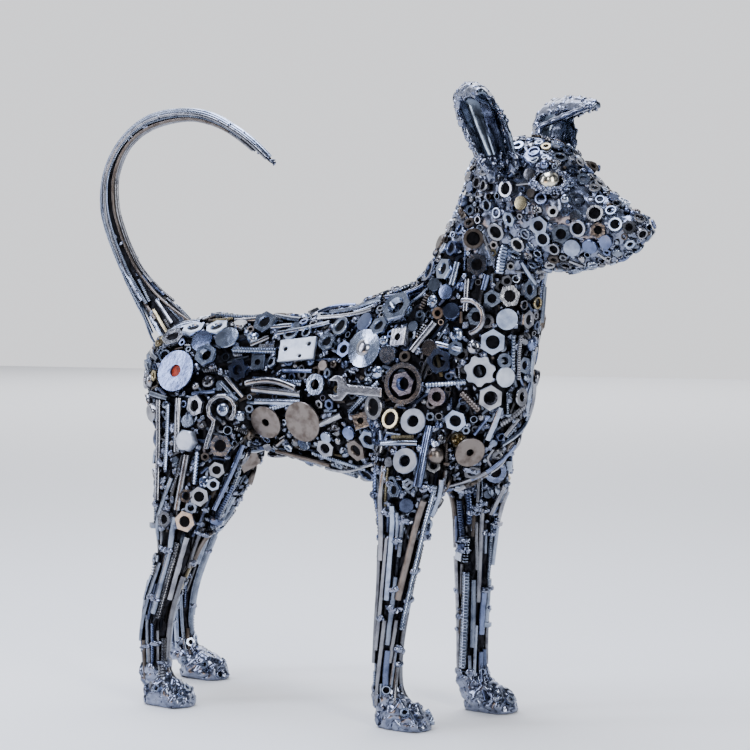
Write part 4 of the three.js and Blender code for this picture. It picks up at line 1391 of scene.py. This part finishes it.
# name: (kind, first column and row, last column and row, thickness in mm, steel)
SEEN_RODS = {
    "rump_edge_rod": ("pin", (268, 327), (292, 325), 3.4, ZINC),
    "hip_threaded_bolt": ("stud", (232, 349), (276, 350), 5.0, ZINC),
    "flank_twisted_rod": ("stud", (252, 379), (301, 383), 5.2, ZINC),
    "flank_tube": ("pin", (252, 389), (300, 394), 5.6, ROLLED),
    "flank_low_rod": ("pin", (255, 402), (300, 403), 5.6, ZINC),
    "flank_small_bolt": ("stud", (262, 411), (288, 404), 4.0, ZINC),
    "belly_bolt": ("pin", (295, 436), (341, 415), 4.6, ROLLED),
    "thigh_rear_thread": ("stud", (168, 405), (165, 470), 3.6, ZINC),
    "thigh_rear_rod": ("pin", (158, 400), (156, 500), 4.0, ROLLED),
    "thigh_rear_rod_two": ("pin", (178, 398), (176, 452), 5.0, ROLLED),
    "thigh_thick_rod": ("pin", (186, 455), (176, 510), 4.6, ROLLED),
    "thigh_thread_two": ("stud", (197, 452), (194, 484), 4.2, ZINC),
    "thigh_front_edge": ("pin", (243, 445), (214, 510), 3.4, BLUED),
    "hip_short_pin": ("pin", (226, 377), (243, 397), 3.4, ROLLED),
    "hip_short_pin_two": ("pin", (221, 383), (238, 401), 3.2, ZINC),
    "upper_arm_bar": ("pin", (429, 426), (417, 487), 6.4, BLUED),
    "arm_rod": ("pin", (383, 465), (379, 560), 4.2, ROLLED),
    "arm_rod_two": ("pin", (391, 505), (386, 600), 3.8, ZINC),
    "arm_thread": ("stud", (435, 484), (402, 630), 4.6, ZINC),
    "arm_rod_three": ("pin", (424, 500), (398, 600), 4.6, WEATHERED),
    "withers_bright_rod": ("pin", (411, 351), (434, 322), 5.0, ROLLED),
    "withers_link": ("pin", (428, 342), (461, 350), 4.4, ZINC),
    "chest_threaded_rod": ("stud", (425, 385), (466, 382), 4.6, ZINC),
    "chest_diagonal_bolt": ("stud", (461, 393), (479, 411), 5.4, WEATHERED),
    "chest_upright": ("stud", (514, 335), (513, 372), 4.0, ZINC),
    "chest_upright_two": ("stud", (521, 335), (519, 380), 3.6, ROLLED),
    "chest_sweep": ("pin", (448, 486), (487, 472), 3.4, ROLLED),
    "chest_sweep_two": ("pin", (470, 480), (516, 445), 3.4, BLUED),
    "chest_sweep_three": ("pin", (487, 472), (530, 428), 3.2, ROLLED),
    "chest_sweep_four": ("pin", (500, 445), (535, 400), 3.2, ZINC),
    "belly_rod": ("pin", (276, 451), (330, 466), 3.6, WEATHERED),
    "belly_rod_two": ("stud", (312, 453), (366, 470), 3.4, ZINC),
    "belly_rod_three": ("pin", (330, 472), (372, 482), 3.2, ROLLED),
    "neck_thread": ("stud", (504, 246), (499, 273), 8.4, ZINC),
    "neck_hook_rod": ("pin", (467, 279), (465, 311), 4.0, ROLLED),
    "neck_bar": ("pin", (457, 262), (451, 285), 4.4, ZINC),
    "neck_pin": ("pin", (483, 235), (493, 262), 2.8, ROLLED),
    "neck_pin_two": ("pin", (487, 275), (483, 290), 4.0, BLUED),
    "neck_front_pin": ("pin", (520, 262), (535, 284), 3.6, ZINC),
    "far_leg_thread": ("stud", (465, 572), (461, 668), 7.0, ZINC),
    "jaw_thread": ("stud", (570, 269), (612, 266), 2.2, ZINC),
    "jaw_line": ("pin", (548, 273), (584, 271), 2.4, WELD),
    "jaw_line_two": ("pin", (608, 266), (640, 250), 2.6, WELD),
    "spine_rod": ("pin", (330, 312), (382, 299), 3.0, ZINC),
    "spine_rod_two": ("pin", (385, 297), (425, 283), 3.2, BLUED),
    "back_rod": ("pin", (318, 318), (372, 309), 3.4, ROLLED),
    "back_rod_two": ("pin", (278, 333), (330, 322), 3.2, ZINC),
}


STRAY = 16                   # mm, the furthest that a line of sight may pass from the skin


def spot_seen(skin, column, row):
    """Where a pixel's line of sight meets the skin, or the place of the skin that it passes closest to."""
    start, ahead = np.array(eye), np.array(through_pixel(column, row))
    found = skin.hit(start, ahead)
    if found is None:
        place = start + ahead * np.linalg.norm(eye)
        for _ in range(6):
            found = skin.nearest(place)
            place = start + ahead * ((found[0] - start) @ ahead)
        if np.linalg.norm(found[0] - place) > STRAY * MM:
            raise RuntimeError(f"Nothing of the dog lies behind column {column}, row {row}")
    return found


SEEN_LIFT = {"face": 1.1, "rod": 1.2}     # mm that these scraps stand out of the skin


def make_seen(settings, skin, taken):
    """The scraps whose places are read from the photograph, in one piece."""
    rng = np.random.default_rng(settings.seed + 71)
    heap = Heap()
    for kind, column, row, size, metal in SEEN_FACES.values():
        spot, normal = spot_seen(skin, column, row)
        lay = basis(normal + rng.normal(0, 0.09, 3), rng.normal(size=3))
        tint = rng.uniform(0.4, 0.8) if on_head(spot) else rng.uniform(0.7, 1)
        face_up(heap, kind, size, lay, spot, normal, SEEN_LIFT["face"], steel(metal), tint)
        taken.take(spot[None], size / 2 * MM)
    for kind, first, last, thick, metal in SEEN_RODS.values():
        start, end = spot_seen(skin, *first)[0], spot_seen(skin, *last)[0]
        length = np.linalg.norm(end - start)
        lay_rod(heap, skin, taken, (start + end) / 2, (end - start) / length, length / MM, thick, kind,
                steel(metal), rng.uniform(0.75, 1), SEEN_LIFT["rod"], 1)
    heap.made("seen_hardware", "welded_steel", skin, settings.scrap_depth, ["welded_shell"])


# The hardware that covers the body and the head

def along_body(spot):
    """The way that rods lie: along the back and the belly, down the limbs, up the neck."""
    if on_head(spot):
        return np.array([0.9, 0.0, -0.35])
    if on_limb(spot):
        return along_limb(spot)
    if spot[0] > 0.06:
        return np.array([0.35, 0.0, 0.94])
    return np.array([1.0, 0.0, 0.1])


LARGE_MIX = [
    (3.4, "nut", 10, 15, 0), (2.4, "washer", 12, 18, 0), (1.6, "thick_washer", 11, 16, 0),
    (1.2, "ring", 11, 16, 0), (1.4, "hex_head", 9, 12, 0), (0.8, "disc", 12, 18, 0),
    (0.8, "dome_washer", 13, 18, 0),
    (0.6, "toothed", 12, 16, 0), (0.8, "square_nut", 9, 12, 0), (1.2, "slot_head", 8, 11, 0),
    (1, "cross_head", 8, 11, 0), (3, "bolt", 22, 34, 5.4), (4, "stud", 22, 44, 4.8), (5, "pin", 20, 48, 4.4),
    (1.4, "plain_bolt", 20, 32, 5.0),
]
SMALL_MIX = [
    (3, "nut", 5.5, 9, 0), (1.6, "washer", 6, 10, 0), (1.2, "ring", 5, 9, 0), (1.2, "tube", 5, 8, 0),
    (1, "hex_head", 5, 8, 0), (0.6, "slot_head", 5, 7, 0), (0.6, "cross_head", 5, 7, 0),
    (1, "button", 4, 7, 0),
    (4, "stud", 10, 26, 3.0), (5, "pin", 9, 28, 2.8), (1.4, "screw", 11, 20, 2.8),
    (0.8, "spring", 9, 16, 3.0), (1, "bent_pin", 10, 20, 2.4),
]
TINY_MIX = [
    (3, "nut", 4, 5.5, 0), (2, "button", 3, 4.5, 0), (2, "ring", 3.6, 5.5, 0), (4, "pin", 5, 12, 2.0),
    (3, "stud", 6, 13, 2.2),
]
HEAD_MIX = [
    (4, "nut", 6, 9, 0), (1.4, "washer", 6, 9, 0), (2.4, "ring", 5, 8.5, 0), (3, "tube", 5, 9, 0),
    (1.4, "hex_head", 5, 8, 0), (1.2, "disc", 6, 9, 0), (1, "button", 4, 6, 0), (0.5, "cross_head", 5, 7, 0),
    (0.5, "stud", 8, 14, 2.6), (0.7, "pin", 8, 14, 2.4),
]
# Plain forms are enough where only glints of a piece are seen.
UNDER_MIX = [
    (3, "nut", 5.5, 9, 0), (2, "washer", 6, 10, 0), (1, "hex_head", 5, 8, 0), (6, "pin", 9, 28, 2.8),
]
HEAD_FILL = [
    (3, "ring", 3.4, 5, 0), (3, "nut", 3.6, 5.2, 0), (2, "button", 2.6, 4, 0), (2, "tube", 3.4, 5, 0),
    (1, "pin", 4, 9, 1.6),
]
TRUNK_FLOOR = 0.12           # z, below which there are only legs


def on_trunk(spot):
    return spot[2] > TRUNK_FLOOR and not on_head(spot)


def on_body(spot):
    return on_trunk(spot) and not on_limb(spot)


def on_thigh(spot):
    return on_limb(spot) and spot[2] > THIGH_FLOOR


def make_hardware(settings, skin, taken):
    """What covers the body and the head: large scraps, small ones between and under them, and welds."""
    rng = np.random.default_rng(settings.seed)
    eyes = [middle for middle, _ in eye_places(skin).values()]

    def on_bare_head(spot):
        return on_head(spot) and min(np.linalg.norm(spot - middle) for middle in eyes) > EYE_CLEAR

    tries, depth = settings.tries, settings.scrap_depth
    # Rows of (region, tries, mix, how far tops stand out, overlap, other settings) for each piece
    plain = {"fine": False, "swing": 0.4}
    layers = {
        "body_large_scraps": (taken, depth, [
            (on_body, tries, LARGE_MIX, (-0.6, 1.2), 0.04, {}),
            (on_thigh, tries // 2, LARGE_MIX, (-0.6, 0.8), 0.04, {"swing": 0.2}),
        ]),
        "body_small_scraps": (taken, depth, [
            (on_body, tries * 3 // 2, SMALL_MIX, (-1.2, 0.5), 0.08, {"dim": 0.9, **plain}),
            (on_body, tries * 3 // 2, TINY_MIX, (-2.0, -0.4), 0.12, {"dim": 0.75, **plain}),
        ]),
        "body_under_scraps": (Footprints(), depth, [
            (on_trunk, tries // 3, UNDER_MIX, (-3.4, -1.8), 0.1, {"dim": 0.9, **plain}),
        ]),
        "head_scraps": (taken, HEAD_DEPTH, [
            (on_bare_head, tries, HEAD_MIX, (0.1, 1.0), 0.06, {}),
            (on_bare_head, tries, HEAD_FILL, (-0.6, 0.4), 0.12, {"fine": False}),
        ]),
    }
    for name, (footprints, shade_depth, rows) in layers.items():
        heap = Heap()
        for inside, count, mix, proud, overlap, other in rows:
            scatter(heap, skin, footprints, rng, inside, count, mix, along_body, proud, overlap, **other)
        heap.made(name, "welded_steel", skin, shade_depth, ["welded_shell"])
    welds = Heap()
    weld_lumps(welds, skin, taken, rng, on_trunk, settings.body_beads, 0.9, 2.2, 2.0, 0.3)
    weld_lumps(welds, skin, taken, rng, on_bare_head, settings.body_beads, 0.7, 1.7, 1.3, -0.2)
    welds.made("body_welds", "welded_steel", skin, depth, ["welded_shell"])


# What a user would change

class DogSettings(bpy.types.PropertyGroup):
    scrap_depth: FloatProperty(
        name="Scrap depth", description="How far the dark skin lies below the scraps' faces",
        default=0.005, min=0.003, max=0.008, unit="LENGTH")
    seed: IntProperty(
        name="Seed", description="Chooses one arrangement of the small scraps", default=11, min=0)
    tries: IntProperty(
        name="Tries", description="How many times a large scrap is thrown at the body to find a free place",
        default=9000, min=500, max=40000)
    body_beads: IntProperty(
        name="Weld lumps", description="How many places on the body are tried for a lump of weld metal",
        default=4500, min=0, max=20000)
    leg_tries: IntProperty(
        name="Leg tries", description="How many times a long rod is thrown at the legs", default=6000,
        min=500, max=30000)
    leg_welds: IntProperty(
        name="Leg welds", description="Runs of weld metal that bridge the legs' rods", default=340,
        min=0, max=4000)
    tail_rods: IntProperty(name="Tail rods", description="Rods round the tail", default=13, min=5, max=16)


class StageSettings(bpy.types.PropertyGroup):
    floor: FloatVectorProperty(
        name="Floor", description="Colour of the floor and the backdrop", subtype="COLOR", size=3,
        default=linear("#efefee"), min=0.0, max=1.0)
    key: FloatProperty(name="Key light", description="Power of the large overhead light", default=34.0,
                       min=0.0, unit="POWER")
    fill: FloatProperty(name="Fill light", description="Power of the light beside the camera", default=10.0,
                        min=0.0, unit="POWER")


def dog_settings():
    return bpy.context.scene.scrap_dog


class Yard:
    """What several operators share: the dog's skin and the places already taken on it."""
    skin = None
    taken = Footprints()


def dog_skin():
    """The body and the legs as one skin, smoothed where the limbs' ends would leave a step."""
    if Yard.skin is None:
        Yard.skin = Skin(["welded_shell"] + LEG_NODES, SKIN_VOXEL, SKIN_SMOOTHING)
    return Yard.skin


# The operators, one for each group of like pieces

class SCRAPDOG_OT_steels(bpy.types.Operator):
    """Make the steels that the pieces are finished in"""
    bl_idname = "scrapdog.steels"
    bl_label = "Steels"

    def execute(self, context):
        for name in STEELS:
            make_steel(name)
        return {"FINISHED"}


class SCRAPDOG_OT_core(bpy.types.Operator):
    """Make the dark skin that shows between the scraps"""
    bl_idname = "scrapdog.core"
    bl_label = "Scale and Shade Skin"

    def execute(self, context):
        make_core(dog_settings())
        return {"FINISHED"}


class SCRAPDOG_OT_scraps(bpy.types.Operator):
    """Draw each separate solid scrap again in full detail"""
    bl_idname = "scrapdog.scraps"
    bl_label = "Solid Scraps"

    def execute(self, context):
        make_scraps(dog_skin(), Yard.taken)
        return {"FINISHED"}


class SCRAPDOG_OT_seen(bpy.types.Operator):
    """Set the scraps that the photograph shows one by one"""
    bl_idname = "scrapdog.seen"
    bl_label = "Scraps in Known Places"

    def execute(self, context):
        make_seen(dog_settings(), dog_skin(), Yard.taken)
        return {"FINISHED"}


class SCRAPDOG_OT_hardware(bpy.types.Operator):
    """Cover the body and the head with small scraps and weld metal"""
    bl_idname = "scrapdog.hardware"
    bl_label = "Small Scraps"

    def execute(self, context):
        make_hardware(dog_settings(), dog_skin(), Yard.taken)
        return {"FINISHED"}


class SCRAPDOG_OT_legs(bpy.types.Operator):
    """Make the four legs of welded rods, with their paws"""
    bl_idname = "scrapdog.legs"
    bl_label = "Legs and Paws"

    def execute(self, context):
        make_legs(dog_settings(), dog_skin(), Yard.taken)
        return {"FINISHED"}


class SCRAPDOG_OT_tail(bpy.types.Operator):
    """Make the curled tail of welded rods"""
    bl_idname = "scrapdog.tail"
    bl_label = "Tail"

    def execute(self, context):
        make_tail(dog_settings())
        return {"FINISHED"}


class SCRAPDOG_OT_ears(bpy.types.Operator):
    """Make the two ears of bent sheet with welded rims"""
    bl_idname = "scrapdog.ears"
    bl_label = "Ears"

    def execute(self, context):
        make_ear("right", dog_settings())
        make_ear("left", dog_settings())
        return {"FINISHED"}


class SCRAPDOG_OT_eyes(bpy.types.Operator):
    """Make the two steel balls of the eyes and the lids round them"""
    bl_idname = "scrapdog.eyes"
    bl_label = "Eyes"

    def execute(self, context):
        make_eyes(dog_settings(), dog_skin())
        return {"FINISHED"}


def lamp(name, place, target, size, power, colour):
    """A softbox: a rectangle of light at a place, turned to its target."""
    data = bpy.data.lights.new(name, "AREA")
    data.shape = "RECTANGLE"
    data.size, data.size_y = size
    data.energy = power
    data.color = linear(colour)
    light = bpy.data.objects.new(name, data)
    light.location = place
    light.rotation_euler = (Vector(target) - Vector(place)).to_track_quat("-Z", "Y").to_euler()
    bpy.context.scene.collection.objects.link(light)


class SCRAPDOG_OT_stage(bpy.types.Operator):
    """Make the floor, the soft studio lights and the camera"""
    bl_idname = "scrapdog.stage"
    bl_label = "Stage"

    def execute(self, context):
        look = context.scene.scrap_dog_stage
        lens = bpy.data.cameras.new("photo_camera")
        lens.sensor_width = SENSOR
        lens.lens = FOCAL / IMAGE * SENSOR
        camera = bpy.data.objects.new("photo_camera", lens)
        camera.location = eye
        camera.rotation_euler = aim.to_track_quat("-Z", "Y").to_euler()
        context.scene.collection.objects.link(camera)
        context.scene.camera = camera
        mesh = bpy.data.meshes.new("studio_floor")
        reach = 6.0
        corners = [(-reach, -reach, 0), (reach, -reach, 0), (reach, reach, 0), (-reach, reach, 0)]
        mesh.from_pydata(corners, [], [(0, 1, 2, 3)])
        floor = bpy.data.objects.new("studio_floor", mesh)
        context.scene.collection.objects.link(floor)
        paint = bpy.data.materials.new("matt_white_paper")
        paint.use_nodes = True
        tree = paint.node_tree
        tree.nodes.clear()
        place = node(tree, "ShaderNodeTexCoord").outputs["Object"]
        tooth = noise(tree, place, per_metre(2.0), 2.0)
        bump = node(tree, "ShaderNodeBump", Strength=0.1, Distance=0.0002, Height=tooth)
        surface = node(tree, "ShaderNodeBsdfPrincipled", Base_Color=(*look.floor, 1), Roughness=0.85,
                       Normal=bump.outputs[0])
        node(tree, "ShaderNodeOutputMaterial", Surface=surface.outputs[0])
        mesh.materials.append(paint)
        make_studio_air(context.scene)
        middle = (0.0, 0.0, 0.22)
        lamp("overhead_softbox", (-0.25, -0.1, 1.5), middle, (1.3, 0.7), look.key, "#dfe8ff")
        lamp("left_strip", (-1.1, -0.9, 0.75), middle, (0.25, 1.1), look.fill * 0.9, "#e8edff")
        lamp("right_strip", (1.25, -0.75, 0.65), middle, (0.3, 1.0), look.fill, "#ffffff")
        lamp("front_panel", (0.35, -1.5, 0.95), middle, (0.5, 0.5), look.fill * 0.5, "#f4f6ff")
        lamp("backdrop_wash", (-2.2, 4.0, 2.6), (-2.0, 3.8, 0), (5.0, 5.0), look.key * 6, "#f4f6ff")
        lamp("warm_reflector", (-0.3, -1.2, 0.1), middle, (0.6, 0.2), look.fill * 0.12, "#ffcf9e")
        return {"FINISHED"}


def make_studio_air(scene):
    """The studio's walls: pale behind the dog, darker on the other sides, so that the steel has contrast."""
    world = bpy.data.worlds.new("studio_air")
    scene.world = world
    world.use_nodes = True
    tree = world.node_tree
    tree.nodes.clear()
    way = node(tree, "ShaderNodeTexCoord").outputs["Generated"]
    backdrop = (-math.sin(yaw), math.cos(yaw), 0.1)
    facing = node(tree, "ShaderNodeVectorMath", {"operation": "DOT_PRODUCT"}, _0=way, _1=backdrop)
    soft = {"interpolation_type": "SMOOTHSTEP"}
    share = spread(tree, facing.outputs["Value"], -0.1, 0.75, settings=soft)
    # Dark flags and pale panels round the camera give rods and rims their streaks.
    paned = spread(tree, noise(tree, way, 2.4, 1.0), 0.44, 0.6, settings=soft)
    front = mixed(tree, paned, opaque("#2a2e37"), opaque("#a4abb9"))
    wall = mixed(tree, share, front, opaque("#e9eaee"))
    power = spread(tree, share, 0.0, 1.0, 0.9, 1.5)
    air = node(tree, "ShaderNodeBackground", Color=wall, Strength=power)
    node(tree, "ShaderNodeOutputWorld", Surface=air.outputs[0])


ORDER = (
    SCRAPDOG_OT_steels, SCRAPDOG_OT_core, SCRAPDOG_OT_scraps, SCRAPDOG_OT_seen, SCRAPDOG_OT_hardware,
    SCRAPDOG_OT_legs, SCRAPDOG_OT_tail, SCRAPDOG_OT_ears, SCRAPDOG_OT_eyes, SCRAPDOG_OT_stage,
)


class SCRAPDOG_PT_build(bpy.types.Panel):
    """The settings and the steps of the dog"""
    bl_idname = "SCRAPDOG_PT_build"
    bl_label = "Scrap Metal Dog"
    bl_space_type = "VIEW_3D"
    bl_region_type = "UI"
    bl_category = "Scrap Dog"

    def draw(self, context):
        layout = self.layout
        for group in (context.scene.scrap_dog, context.scene.scrap_dog_stage):
            box = layout.box()
            for name in group.__annotations__:
                box.prop(group, name)
        for step in ORDER:
            layout.operator(step.bl_idname)


CLASSES = (DogSettings, StageSettings, *ORDER, SCRAPDOG_PT_build)


def register():
    for kind in CLASSES:
        bpy.utils.register_class(kind)
    bpy.types.Scene.scrap_dog = PointerProperty(type=DogSettings)
    bpy.types.Scene.scrap_dog_stage = PointerProperty(type=StageSettings)


def unregister():
    del bpy.types.Scene.scrap_dog_stage
    del bpy.types.Scene.scrap_dog
    for kind in reversed(CLASSES):
        bpy.utils.unregister_class(kind)


def main():
    register()
    for step in ORDER:
        group, name = step.bl_idname.split(".")
        getattr(getattr(bpy.ops, group), name)()


if __name__ == "__main__":
    main()
